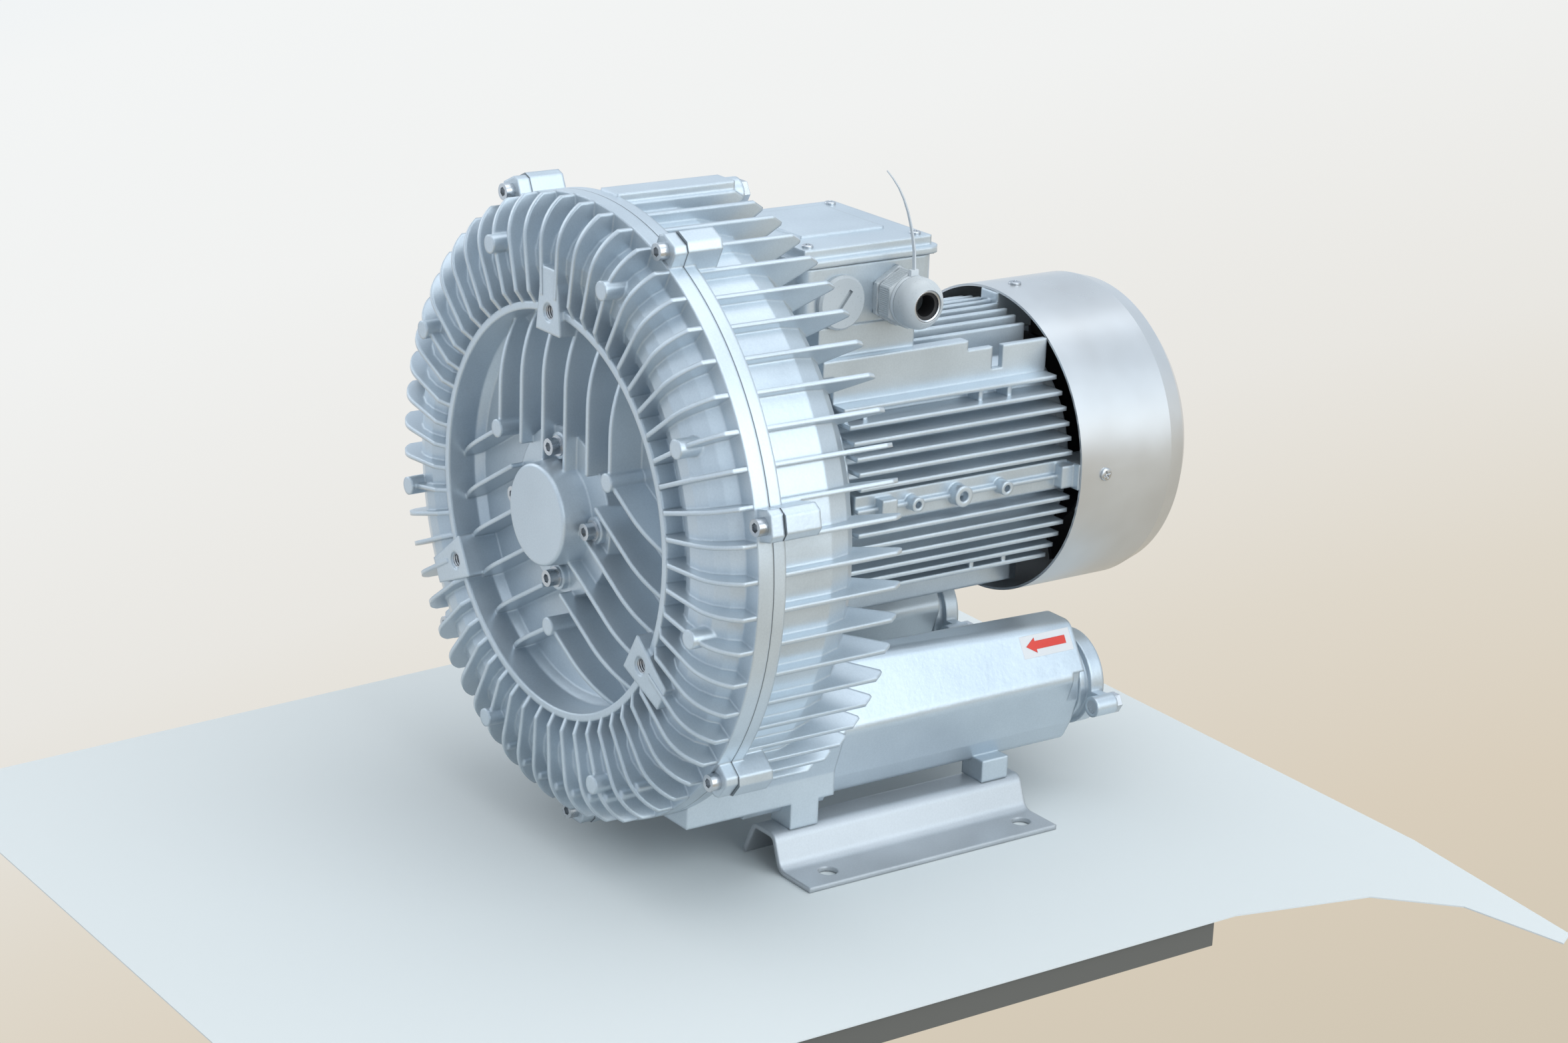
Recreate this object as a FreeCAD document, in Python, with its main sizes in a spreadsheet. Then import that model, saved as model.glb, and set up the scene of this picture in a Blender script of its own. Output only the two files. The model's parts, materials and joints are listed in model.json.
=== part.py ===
import FreeCAD
import Part
import Sketcher
import math
import os
from FreeCAD import Placement, Rotation, Vector
from types import SimpleNamespace

# Side channel blower with its motor, two silencers and two pressed feet.
# X runs across the feet, Y along the motor axis from the cover to the fan, Z up.
# The origin is on the floor, in the middle of the four foot holes.
# Sub-parts are drawn about the motor axis: y is counted from the parting plane of the casing.

# Driving dimensions in millimetres, counts and degrees.
DIMENSIONS = {
    # where the casing stands
    "axis_height": 210, "parting_to_feet": 165.7, "fit_gap": 0.05, "running_gap": 0.4,
    # casing
    "flange_radius": 185, "cover_flange": 10, "housing_flange": 8, "casing_wall": 6,
    "channel_radius": 148, "channel_section": 21, "impeller_width": 46,
    "bowl_radius": 118.5, "rim_width": 4.5, "rim_height": 29, "bowl_floor": 7, "rim_valley": 17,
    "hub_radius": 30, "hub_height": 38.7, "hub_base_radius": 50, "hub_base_height": 20,
    "fin_count": 56, "fin_thickness": 2.6, "cover_fin_radius": 184.5, "cover_fin_crest": 33,
    "cover_fin_tip": 19,
    "housing_fin_radius": 181.5, "fin_tip": 92, "fin_tip_rise": 27,
    "lug_count": 7, "lug_width": 18, "lug_radius": 199, "cover_lug": 8.5, "housing_lug": 23,
    "lug_screw_radius": 190.1, "lug_screw_thread": 3, "lug_screw_length": 24,
    "screw_head_radius": 5, "screw_head_height": 6, "screw_socket": 2.9,
    "rib_thickness": 2.6, "rib_pitch": 24.25, "rib_crest": 28, "rib_rim_crest": 17, "rib_fall_length": 42,
    "rib_boss_radius": 5.5,
    "boss_circle": 70, "boss_height": 30, "ejector_circle": 159, "ejector_radius": 5.6, "ejector_height": 36,
    "stud_circle": 168, "stud_radius": 3, "stud_height": 29,
    "eye_lug_circle": 120, "eye_lug_inner": 108, "eye_lug_outer": 146, "eye_lug_width": 26,
    "eye_lug_tip": 16, "eye_lug_height": 32.5, "eye_hole": 4.25, "eye_hole_depth": 20, "eye_mouth": 5.4,
    "cap_screw_circle": 40, "cap_screw_seat": 8, "cap_screw_seat_height": 24,
    "washer_thickness": 1.2, "washer_radius": 6.2,
    # shaft and bearings
    "shaft_end": 33, "front_bore": 12.5, "front_outer": 26, "front_width": 15, "hub_wall": 5.5,
    "cap_depth": 8, "cap_thickness": 6, "cap_radius": 46, "cap_bore": 15,
    "impeller_seat": 14, "shaft_radius": 20, "drive_bore": 15, "drive_outer": 31, "drive_width": 16,
    "drive_bearing": 62, "fan_seat": 11, "shaft_tail": 349, "race_wall": 2.6, "ball_count": 8,
    # impeller
    "blade_count": 36, "blade_thickness": 2.5, "blade_root": 127, "impeller_tip": 168,
    "impeller_bore_wall": 18,
    "impeller_start": 1, "impeller_web": 10, "impeller_nut_radius": 22, "impeller_nut": 6,
    # motor
    "motor_start": 118, "motor_end": 292, "frame_outer": 74, "frame_inner": 66, "fin_circle": 90,
    "motor_fin_start": 128, "motor_fin_end": 288, "motor_fin_pitch": 8.6, "motor_fin_thickness": 2.6,
    "core_start": 150, "core_length": 100, "stator_bore": 46, "air_gap": 0.5, "winding_length": 20,
    "winding_inner": 49, "winding_outer": 62, "end_ring_length": 6, "end_ring_inner": 31,
    "plate_outer": 58, "plate_wall": 4, "plate_top": 79, "plate_slot": 250, "slot_low": 65, "slot_half": 4,
    "shelf_end": 227, "shelf_top": 85, "web_half": 1.5, "web_reach": 11,
    "band_half_height": 9, "band_radius": 84, "shield_thickness": 8, "shield_radius": 82,
    "shield_boss": 34, "shield_boss_length": 22, "shield_seat": 5, "rear_width": 15,
    # cooling fan and cowl
    "fan_start": 322, "fan_length": 24, "fan_radius": 84, "fan_hub": 24, "fan_blades": 7, "fan_plate": 3,
    "cowl_radius": 97.6, "cowl_wall": 1.5, "cowl_start": 289, "cowl_end": 386, "cowl_corner": 25,
    "cowl_screws": 308, "cowl_slot_count": 18, "cowl_lug_width": 16,
    # terminal box
    "box_start": 107, "box_end": 203, "box_half_width": 52, "box_floor": 104, "box_rim": 140,
    "box_wall": 4, "box_floor_wall": 1.8, "box_corner": 8, "lid_edge": 4, "lid_height": 6, "lid_overhang": 3,
    "lid_pad": 1.5,
    "pedestal_half_width": 52, "pedestal_start": 112, "pedestal_end": 190, "gasket": 1.2,
    "entry_height": 118.5, "gland_place": 174, "plug_place": 134, "gland_bore": 12.6, "gland_hex": 18.5,
    "gland_hex_length": 16, "gland_neck": 3, "gland_neck_radius": 14, "dome_radius": 15.5, "dome_length": 14,
    "cable_bore": 6.5,
    "plug_radius": 16.5, "plug_head": 4,
    # silencers
    "port_x": 74, "port_drop": 139, "silencer_start": 112, "silencer_end": 297, "silencer_rounding": 9,
    "silencer_ridge": 31,
    "silencer_top_front": 90, "silencer_top_rear": 97, "silencer_bottom": 177, "ridge_drop": 128,
    "low_edge_drop": 162, "low_edge_half": 19, "top_half": 8, "bottom_half": 11, "silencer_bore": 22,
    "liner_wall": 4, "port_bore": 22.5, "outlet_bore": 19.5, "port_neck": 26.5, "port_flange_radius": 30,
    "port_end": 313,
    "port_flange_thickness": 10, "port_base": 6, "ear_reach": 38, "ear_drop": 146, "ear_radius": 6.5,
    "port_bolt": 4,
    # feet
    "foot_start": 68.8, "foot_outer": 135.7, "foot_length": 185.6, "foot_sheet": 3, "hump_height": 23,
    "foot_rounding": 4,
    "hump_outer": 98, "hump_inner": 76, "foot_toe": 66, "foot_bend": 106, "foot_hole_x": 120.5,
    "foot_hole_pitch": 146,
    "foot_hole": 6, "foot_bolt_front": 91, "foot_bolt_rear": 235, "foot_bolt": 4,
    "pad_half": 10, "rail_inner": 40, "rail_outer": 97, "rail_bottom": 171,
}

doc = FreeCAD.newDocument("side_channel_blower")


class Size:
    """A length with its value and the sheet expression that it follows."""

    def __init__(self, value, text):
        self.value = float(value)
        self.text = text

    def _join(self, other, sign, value):
        return Size(value, "(%s %s %s)" % (self.text, sign, text_of(other)))

    def __add__(self, other):
        return self._join(other, "+", self.value + value_of(other))

    def __sub__(self, other):
        return self._join(other, "-", self.value - value_of(other))

    def __mul__(self, other):
        return self._join(other, "*", self.value * value_of(other))

    def __truediv__(self, other):
        return self._join(other, "/", self.value / value_of(other))

    def __radd__(self, other):
        return Size(other, repr(other)) + self

    def __rsub__(self, other):
        return Size(other, repr(other)) - self

    def __rmul__(self, other):
        return Size(other, repr(other)) * self

    def __neg__(self):
        return Size(-self.value, "(0 - %s)" % self.text)

    def leg(self, other):
        """The other leg of a right triangle with this size as its long side."""
        value = math.sqrt(self.value ** 2 - value_of(other) ** 2)
        return Size(value, "sqrt(%s ^ 2 - %s ^ 2)" % (self.text, text_of(other)))


def value_of(size):
    return size.value if isinstance(size, Size) else float(size)


def text_of(size):
    return size.text if isinstance(size, Size) else repr(size)


def make_sheet():
    """Write the driving dimensions to a sheet and return them as sizes with their aliases."""
    sheet = doc.addObject("Spreadsheet::Sheet", "sizes")
    sizes = {}
    for row, (alias, value) in enumerate(DIMENSIONS.items(), start=1):
        sheet.set("A%d" % row, alias)
        sheet.set("B%d" % row, str(value))
        sheet.setAlias("B%d" % row, alias)
        sizes[alias] = Size(value, "sizes." + alias)
    doc.recompute()
    return SimpleNamespace(**sizes)


S = make_sheet()
SUBPARTS = []


def bind(target, path, size):
    """Tie a property to the sheet, or set it when it is a plain number."""
    if isinstance(size, Size):
        target.setExpression(path, size.text)
    else:
        setattr(target, path, size)


def make_body(name):
    body = doc.addObject("PartDesign::Body", name)
    body.Label = name
    body.setExpression("Placement.Base.y", "0 - sizes.parting_to_feet")
    body.setExpression("Placement.Base.z", "sizes.axis_height")
    SUBPARTS.append(body)
    return body


def origin_part(body, role):
    return next(item for item in body.Origin.OriginFeatures if item.Role == role)


def sketch_on(body, role, offset=0, turn=None, turn_axis=Vector(1, 0, 0)):
    """A sketch on an origin plane of the body, moved along the plane's normal or turned about an axis."""
    sketch = body.newObject("Sketcher::SketchObject", "outline")
    sketch.AttachmentSupport = (origin_part(body, role), [""])
    sketch.MapMode = "FlatFace"
    spin = Rotation(turn_axis, value_of(turn)) if turn is not None else Rotation()
    sketch.AttachmentOffset = Placement(Vector(0, 0, value_of(offset)), spin)
    if isinstance(offset, Size):
        sketch.setExpression("AttachmentOffset.Base.z", offset.text)
    if isinstance(turn, Size):
        sketch.setExpression("AttachmentOffset.Rotation.Angle", turn.text)
    return sketch


def across(body, y):
    """A sketch across the motor axis at y, drawn in x and z."""
    return sketch_on(body, "XZ_Plane", -1 * y)


def along(body, x=0, turn=None):
    """A sketch along the motor axis, drawn in y and z, moved in x or turned about the motor axis."""
    return sketch_on(body, "YZ_Plane", x, turn)


def flat(body, z):
    """A level sketch at height z above the motor axis, drawn in x and y."""
    return sketch_on(body, "XY_Plane", z)


def hold(sketch, curve, spot, first, second):
    """Dimension a point of the sketch from its origin. None leaves a direction free."""
    for kind, axis, size in (("DistanceX", -2, first), ("DistanceY", -1, second)):
        if size is None:
            continue
        if not isinstance(size, Size) and size == 0:
            sketch.addConstraint(Sketcher.Constraint("PointOnObject", curve, spot, axis))
            continue
        index = sketch.addConstraint(Sketcher.Constraint(kind, -1, 1, curve, spot, value_of(size)))
        if isinstance(size, Size):
            sketch.setExpression("Constraints[%d]" % index, size.text)


def add_arc(sketch, start, end, centre):
    """An arc of less than half a turn. It returns its index and which of its ends come first and last."""
    middle = Vector(*centre, 0)
    angles = [math.atan2(point[1] - centre[1], point[0] - centre[0]) for point in (start, end)]
    sweep = (angles[1] - angles[0]) % (2 * math.pi)
    forward = sweep <= math.pi
    if not forward:
        angles.reverse()
    circle = Part.Circle(middle, Vector(0, 0, 1), math.dist(start, centre))
    curve = sketch.addGeometry(Part.ArcOfCircle(circle, angles[0], angles[1]))
    return (curve, 1, 2) if forward else (curve, 2, 1)


def draw(sketch, corners):
    """A closed outline. A corner is (a, b), or (a, b, centre) where an arc arrives from the last corner."""
    spots = [(value_of(corner[0]), value_of(corner[1])) for corner in corners]
    pieces = []
    for index, start in enumerate(spots):
        after = (index + 1) % len(corners)
        if len(corners[after]) == 3:
            centre = corners[after][2]
            piece = add_arc(sketch, start, spots[after], (value_of(centre[0]), value_of(centre[1])))
            hold(sketch, piece[0], 3, centre[0], centre[1])
        else:
            line = Part.LineSegment(Vector(*start, 0), Vector(*spots[after], 0))
            piece = (sketch.addGeometry(line), 1, 2)
        pieces.append(piece)
    for index, corner in enumerate(corners):
        before = pieces[index - 1]
        here = pieces[index]
        sketch.addConstraint(Sketcher.Constraint("Coincident", before[0], before[2], here[0], here[1]))
        first, second = corner[0], corner[1]
        if len(corner) == 3:
            reach_a = abs(spots[index][0] - value_of(corner[2][0]))
            reach_b = abs(spots[index][1] - value_of(corner[2][1]))
            if reach_a < reach_b:
                second = None
            else:
                first = None
        hold(sketch, here[0], here[1], first, second)
    return sketch


def rectangle(sketch, left, right, low, high):
    return draw(sketch, [(left, low), (right, low), (right, high), (left, high)])


def add_circle(sketch, x, y, radius):
    curve = sketch.addGeometry(Part.Circle(Vector(value_of(x), value_of(y), 0), Vector(0, 0, 1),
                                           value_of(radius)))
    hold(sketch, curve, 3, x, y)
    index = sketch.addConstraint(Sketcher.Constraint("Radius", curve, value_of(radius)))
    if isinstance(radius, Size):
        sketch.setExpression("Constraints[%d]" % index, radius.text)
    return sketch


def add_hexagon(sketch, x, y, radius):
    """A hexagon with its corners on a circle, two of them level with its middle."""
    half = radius * 0.5
    rise = radius * 0.8660254
    return draw(sketch, [(x + radius, y), (x + half, y + rise), (x - half, y + rise),
                         (x - radius, y), (x - half, y - rise), (x + half, y - rise)])


def many_sided(sketch, x, y, radius, sides):
    """A regular outline with its corners on a circle."""
    turns = [2 * math.pi * side / sides for side in range(sides)]
    return draw(sketch, [(radius * round(math.cos(turn), 6) + x, radius * round(math.sin(turn), 6) + y)
                         for turn in turns])


def feature(body, kind, sketch):
    made = body.newObject("PartDesign::" + kind, kind.lower())
    made.Profile = sketch
    return made


def pad(body, sketch, length, forward=True, both=False, cut=False):
    """Add or cut a prism. Forward runs towards +X, +Y or +Z from the sketch."""
    made = feature(body, "Pocket" if cut else "Pad", sketch)
    bind(made, "Length", length)
    made.Midplane = both
    support = sketch.AttachmentSupport[0][0].Role
    towards_minus = support == "XZ_Plane"
    made.Reversed = (towards_minus == forward) != cut
    return made


def turned(body, corners, cut=False, sketch=None, angle=360):
    """Revolve an outline of y and radius about the motor axis, or about its sketch's long axis."""
    sketch = sketch or along(body)
    made = feature(body, "Groove" if cut else "Revolution", draw(sketch, corners))
    made.ReferenceAxis = (sketch, ["H_Axis"])
    made.Angle = angle
    return made


def bend(centre, radius, *angles):
    """Corners of an outline on a circle, which stand for a smooth bend. Angles are in degrees from +Y."""
    turns = [math.radians(angle) for angle in angles]
    return [(radius * round(math.cos(turn), 6) + centre[0], radius * round(math.sin(turn), 6) + centre[1])
            for turn in turns]


def tube(body, start, end, inner, outer):
    return turned(body, [(start, inner), (end, inner), (end, outer), (start, outer)])


def ring_of(body, features, count, axis="Y_Axis"):
    pattern = body.newObject("PartDesign::PolarPattern", "ring")
    pattern.Originals = features
    pattern.Axis = (origin_part(body, axis), [""])
    pattern.Angle = 360
    bind(pattern, "Occurrences", count)
    body.Tip = pattern
    return pattern


def mirrored(body, features, role):
    mirror = body.newObject("PartDesign::Mirrored", "mirror")
    mirror.Originals = features
    mirror.MirrorPlane = (origin_part(body, role), [""])
    body.Tip = mirror
    return mirror


def dress(body, kind, size, chosen):
    """Fillet or chamfer the edges of the body so far that the test picks."""
    doc.recompute()
    base = body.Tip
    names = ["Edge%d" % (number + 1) for number, edge in enumerate(base.Shape.Edges) if chosen(edge)]
    made = body.newObject("PartDesign::" + kind, kind.lower())
    made.Base = (base, names)
    bind(made, "Radius" if kind == "Fillet" else "Size", size)
    return made


def runs_along(edge, direction):
    """True for a straight edge parallel to the direction."""
    if not isinstance(edge.Curve, Part.Line):
        return False
    return edge.Curve.Direction.cross(direction).Length < 1e-6


def is_round_at(edge, y, radius):
    """True for a full turn about the motor axis with this place and radius."""
    if not isinstance(edge.Curve, Part.Circle):
        return False
    same_place = abs(edge.Curve.Center.y - value_of(y)) < 0.01
    return same_place and abs(edge.Curve.Radius - value_of(radius)) < 0.01


# Side fins lie this far from the motor axis, in fin pitches, with webs between two of them.
FIN_LEVELS = [step + 0.65 for step in range(1, 7)]
WEB_LEVEL = 6.15
UPPER_WEBS = (130, 144, 230, 252)
LOWER_WEBS = (230, 255)
ON_AXIS = Size(0, "0")
FORWARD = Vector(0, 1, 0)
UPWARD = Vector(0, 0, 1)
HALF_STEP = Size(180 / DIMENSIONS["fin_count"], "(180 / sizes.fin_count)")


# Casing

def cover_castings(body):
    """The turned form of the cover: hub, bowl floor, rim, channel bulge and flange."""
    wall = S.channel_section + S.casing_wall
    rim_outer = S.bowl_radius + S.rim_width
    bulge_inner = S.channel_radius - wall.leg(S.rim_valley)
    bulge_outer = S.channel_radius + wall.leg(S.cover_flange)
    middle = (0, S.channel_radius)
    seat = S.front_outer + S.fit_gap
    floor_edge = S.bowl_radius - 6
    turned(body, [
        (-S.hub_height, 0), (-S.hub_height, S.hub_radius), (-S.hub_base_height, S.hub_radius + 1.5),
        (-S.hub_base_height, S.hub_base_radius), (-S.bowl_floor, S.hub_base_radius + 1.5),
        (-S.bowl_floor, floor_edge), (-S.bowl_floor - 5, S.bowl_radius - 1.5), (-S.rim_height, S.bowl_radius),
        (-S.rim_height, rim_outer), (-S.rim_valley, rim_outer + 1), (-S.rim_valley, bulge_inner),
        *bend(middle, wall, 210, 190, 170, 150, 130), (-S.cover_flange, bulge_outer),
        (-S.cover_flange, S.flange_radius), (0, S.flange_radius), (0, S.channel_radius + S.channel_section),
        *bend(middle, S.channel_section, 120, 150, 180, 210, 240), (0, S.channel_radius - S.channel_section),
        (0, S.cap_radius + S.fit_gap), (-S.cap_depth, S.cap_radius + S.fit_gap), (-S.cap_depth, seat),
        (-S.hub_height + S.hub_wall, seat), (-S.hub_height + S.hub_wall, 0)])
    dress(body, "Chamfer", 1, lambda edge: is_round_at(edge, -S.hub_height, S.hub_radius))


def cover_fin(body, turn):
    """One cooling fin of the cover, from the rim over the bulge to the flange."""
    middle = (0, S.channel_radius)
    root = S.channel_section + S.casing_wall / 2
    sketch = along(body, 0, turn)
    fall = S.cover_fin_crest - S.cover_fin_tip
    reach = S.cover_fin_radius - S.channel_radius - 10
    rounding = (reach * reach + fall * fall) / (fall * 2)
    crest_end = S.channel_radius + 10
    draw(sketch, [
        (-S.rim_height + 1, S.bowl_radius + 2), (-S.cover_fin_crest, S.bowl_radius + 11),
        (-S.cover_fin_crest, crest_end),
        (-S.cover_fin_tip, S.cover_fin_radius, (rounding - S.cover_fin_crest, crest_end)),
        (-S.cover_flange + 1, S.cover_fin_radius),
        (-S.cover_flange + 1, S.channel_radius + root.leg(S.cover_flange - 1)),
        *bend(middle, root, 145, 180, 215),
        (-S.rim_valley + 3, S.channel_radius - root.leg(S.rim_valley - 3)),
        (-S.rim_valley + 3, S.bowl_radius + 2)])
    return pad(body, sketch, S.fin_thickness, both=True)


def rib_outline(sketch, start, end):
    """A bowl rib whose crest bends down towards the rim."""
    fall = S.rib_crest - S.rib_rim_crest
    reach = S.rib_fall_length
    radius = (reach * reach + fall * fall) / (fall * 2)
    bend_start = end - reach
    return draw(sketch, [
        (-S.bowl_floor + 1, start), (-S.rib_crest, start), (-S.rib_crest, bend_start),
        (-S.rib_rim_crest, end, (radius - S.rib_crest, bend_start)), (-S.bowl_floor + 1, end)])


def bowl_ribs(body):
    """Three groups of six parallel ribs across the bowl floor."""
    made = []
    end_circle = S.bowl_radius + 1
    for step, start in ((0.5, S.hub_radius - 2), (1.5, S.hub_radius + 2), (2.5, S.boss_circle / 2)):
        place = S.rib_pitch * step
        for side in (-1, 1):
            sketch = along(body, place * side)
            rib_outline(sketch, start, end_circle.leg(place))
            made.append(pad(body, sketch, S.rib_thickness, both=True))
    return made


def bosses_at(body, angles, circle, radius, top, bottom, cut=False):
    """Round bosses or holes on the front of the cover, all of one size and on one circle."""
    sketch = across(body, -top)
    for angle in angles:
        add_circle(sketch, circle * math.cos(math.radians(angle)), circle * math.sin(math.radians(angle)),
                   radius)
    return pad(body, sketch, top - bottom, cut=cut)


def eye_lugs(body):
    """Three flat lugs on the rim."""
    sketch = across(body, -S.eye_lug_height)
    draw(sketch, [(-S.eye_lug_width / 2, S.eye_lug_inner), (S.eye_lug_width / 2, S.eye_lug_inner),
                  (S.eye_lug_tip / 2, S.eye_lug_outer), (-S.eye_lug_tip / 2, S.eye_lug_outer)])
    ring_of(body, [pad(body, sketch, S.eye_lug_height - S.bowl_floor + 1)], 3)


def eye_holes(body):
    """The blind threaded holes of the lugs, drilled through whatever fins run into them."""
    angles = (90, 210, 330)
    bosses_at(body, angles, S.eye_lug_circle, S.eye_hole, S.eye_lug_height,
              S.eye_lug_height - S.eye_hole_depth,
              cut=True)
    bosses_at(body, angles, S.eye_lug_circle, S.eye_mouth, S.eye_lug_height + 1, S.eye_lug_height - 1,
              cut=True)


def lug_block(body, start, length, radius, edge):
    """One screw lug on the flange, at the foot of the casing, with its hole."""
    sketch = across(body, start)
    half = S.lug_width / 2
    draw(sketch, [(-half, -radius + edge), (-half + edge, -radius), (half - edge, -radius),
                  (half, -radius + edge),
                  (half, -S.flange_radius + 9), (-half, -S.flange_radius + 9)])
    return pad(body, sketch, length)


def lug_hole(body, start, length):
    sketch = add_circle(across(body, start), 0, -S.lug_screw_radius, S.lug_screw_thread + S.fit_gap)
    return pad(body, sketch, length, cut=True)


def front_cover():
    body = make_body("front_cover")
    cover_castings(body)
    ring_of(body, [lug_block(body, -S.cover_lug, S.cover_lug, S.lug_radius - 1.5, 3),
                   lug_hole(body, -S.cover_lug, S.cover_lug)], S.lug_count)
    ring_of(body, bowl_ribs(body), 3)
    quarters = (0, 90, 180, 270)
    bosses_at(body, quarters, S.cap_screw_circle, S.cap_screw_seat, S.cap_screw_seat_height,
              S.hub_base_height - 1)
    bosses_at(body, quarters, S.cap_screw_circle, S.lug_screw_thread + S.fit_gap, S.cap_screw_seat_height,
              ON_AXIS,
              cut=True)
    bosses_at(body, (30, 150, 270), S.boss_circle, S.rib_boss_radius, S.boss_height, S.bowl_floor - 1)
    step = 360 / DIMENSIONS["fin_count"]
    ejectors = [place * step for place in (17.5, 10.5, 4.5, -1.5, -10.5, -17.5, -26.5, 23.5)]
    bosses_at(body, ejectors, S.ejector_circle, S.ejector_radius, S.ejector_height, S.rim_valley)
    studs = [(place - 16.5) * step for place in range(9)]
    bosses_at(body, studs, S.stud_circle, S.stud_radius, S.stud_height, S.rim_valley)
    eye_lugs(body)
    recess = add_circle(across(body, -S.cap_depth), 0, 0, S.cap_radius + S.fit_gap)
    pad(body, recess, S.cap_depth, cut=True)
    ring_of(body, [cover_fin(body, HALF_STEP)], S.fin_count)
    eye_holes(body)


def housing_castings(body):
    """The turned form of the housing: flange, wall, channel bulge, rear wall, bearing boss and motor neck."""
    wall = S.channel_section + S.casing_wall
    width = S.impeller_width
    middle = (width, S.channel_radius)
    seat = S.drive_outer + S.fit_gap
    boss_rear = S.drive_bearing + S.drive_width + 2
    neck = S.frame_outer + 8
    rear = width + 12
    turned(body, [
        (0, S.channel_radius + S.channel_section), (0, S.flange_radius), (S.housing_flange, S.flange_radius),
        (S.housing_flange, S.channel_radius + wall), (width, S.channel_radius + wall),
        *bend(middle, wall, 60, 30, 0, -30), (rear, S.channel_radius - wall.leg(12)),
        (rear, neck), (S.motor_start, neck), (S.motor_start, S.frame_inner),
        (rear, S.frame_inner), (rear, S.drive_outer + 9), (boss_rear, S.drive_outer + 9), (boss_rear, seat),
        (S.drive_bearing, seat), (S.drive_bearing, S.impeller_seat + 6), (width, S.impeller_seat + 6),
        (width, S.channel_radius - S.channel_section), *bend(middle, S.channel_section, -60, -30, 0, 30, 60),
        (width, S.channel_radius + S.channel_section)])


def housing_fin(body, turn):
    """One axial fin with its pointed rear tip."""
    wall = S.channel_radius + S.channel_section + 2
    tip = S.fin_tip
    crest = S.housing_fin_radius
    sketch = along(body, 0, turn)
    draw(sketch, [(S.housing_flange - 1, wall), (S.housing_flange - 1, crest), (tip - 6, crest),
                  (tip, crest - 4), (tip, crest - 6), (S.impeller_width + 17, crest - S.fin_tip_rise),
                  (S.impeller_width, wall)])
    return pad(body, sketch, S.fin_thickness, both=True)


def silencer_section(sketch, side, top, grow=0):
    """The six-sided section of a silencer, taller than wide, with its ridges above its middle."""
    x = S.port_x * side
    return draw(sketch, [
        (x - S.top_half - grow, -top + grow), (x + S.top_half + grow, -top + grow),
        (x + S.silencer_ridge + grow, -S.ridge_drop), (x + S.low_edge_half + grow, -S.low_edge_drop - grow),
        (x + S.bottom_half + grow, -S.silencer_bottom - grow),
        (x - S.bottom_half - grow, -S.silencer_bottom - grow),
        (x - S.low_edge_half - grow, -S.low_edge_drop - grow), (x - S.silencer_ridge - grow, -S.ridge_drop)])


def foot_bracket(body, side):
    """A smooth rail under the housing, back to the block that stands on a foot, with its bolt hole."""
    middle = (S.hump_inner + S.hump_outer) / 2 * side
    half = S.pad_half
    rail_start = S.housing_flange - 1
    casing = S.channel_radius + S.channel_section + S.casing_wall - 1
    rail = draw(across(body, rail_start), [
        (S.rail_inner * side, -S.rail_bottom), (S.rail_outer * side, -S.rail_bottom),
        (S.rail_outer * side, -casing.leg(S.rail_outer)), (S.rail_inner * side, -casing.leg(S.rail_inner))])
    pad(body, rail, S.silencer_start - rail_start)
    seat = S.axis_height - S.hump_height
    block = rectangle(across(body, S.foot_bolt_front - half), middle - half, middle + half, -seat,
                      -S.port_drop)
    pad(body, block, half * 2)
    hole = add_circle(flat(body, -seat), middle, S.foot_bolt_front, S.foot_bolt)
    pad(body, hole, 14, cut=True)


def blower_housing():
    body = make_body("blower_housing")
    housing_castings(body)
    ring_of(body, [lug_block(body, 0, S.housing_lug, S.lug_radius, 4),
                   lug_hole(body, 0, S.lug_screw_length - S.cover_lug + 1)], S.lug_count)
    for side in (-1, 1):
        stub = silencer_section(across(body, S.impeller_width + 8), side, S.silencer_top_front, 1.5)
        pad(body, stub, S.silencer_start - S.impeller_width - 8)
        foot_bracket(body, side)
    lifting_boss(body)
    ring_of(body, [housing_fin(body, HALF_STEP)], S.fin_count)
    ducts = across(body, S.silencer_start)
    for side in (-1, 1):
        add_circle(ducts, S.port_x * side, -S.port_drop, S.outlet_bore - 3)
    pad(body, ducts, S.silencer_start - S.impeller_width - 11, forward=False, cut=True)


def lifting_boss(body):
    """The broad top rib and the round boss for a lifting eye."""
    top = S.housing_fin_radius + 5
    rib = rectangle(across(body, S.housing_flange - 1), Size(-9, "(0 - 9)"), Size(9, "9"),
                    S.channel_radius + S.channel_section + 2, top)
    pad(body, rib, S.fin_tip - 4 - S.housing_flange)
    boss = add_circle(across(body, S.impeller_width + 10), 0, top - 9.5, 9.5)
    pad(body, boss, S.fin_tip - S.impeller_width - 8)
    hole = add_circle(across(body, S.fin_tip + 2), 0, top - 9.5, 5)
    pad(body, hole, 20, forward=False, cut=True)


def lifting_plug():
    body = make_body("lifting_thread_plug")
    centre = S.housing_fin_radius - 4.5
    pad(body, add_circle(across(body, S.fin_tip + 2), 0, centre, 5 - S.fit_gap), 16, forward=False)
    pad(body, add_hexagon(across(body, S.fin_tip + 2), ON_AXIS, centre, Size(8, "8")), 5)


def socket_screws(name, place_z, seat, length, count):
    """A ring of socket head screws whose heads seat at y and whose shanks run to the rear."""
    body = make_body(name)
    head = pad(body, add_circle(across(body, seat), 0, place_z, S.screw_head_radius), S.screw_head_height,
               forward=False)
    shank = pad(body, add_circle(across(body, seat), 0, place_z, S.lug_screw_thread), length)
    socket = pad(body, add_hexagon(across(body, seat - S.screw_head_height), ON_AXIS, place_z,
                                   S.screw_socket),
                 3, cut=True)
    ring_of(body, [head, shank, socket], count)


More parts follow.
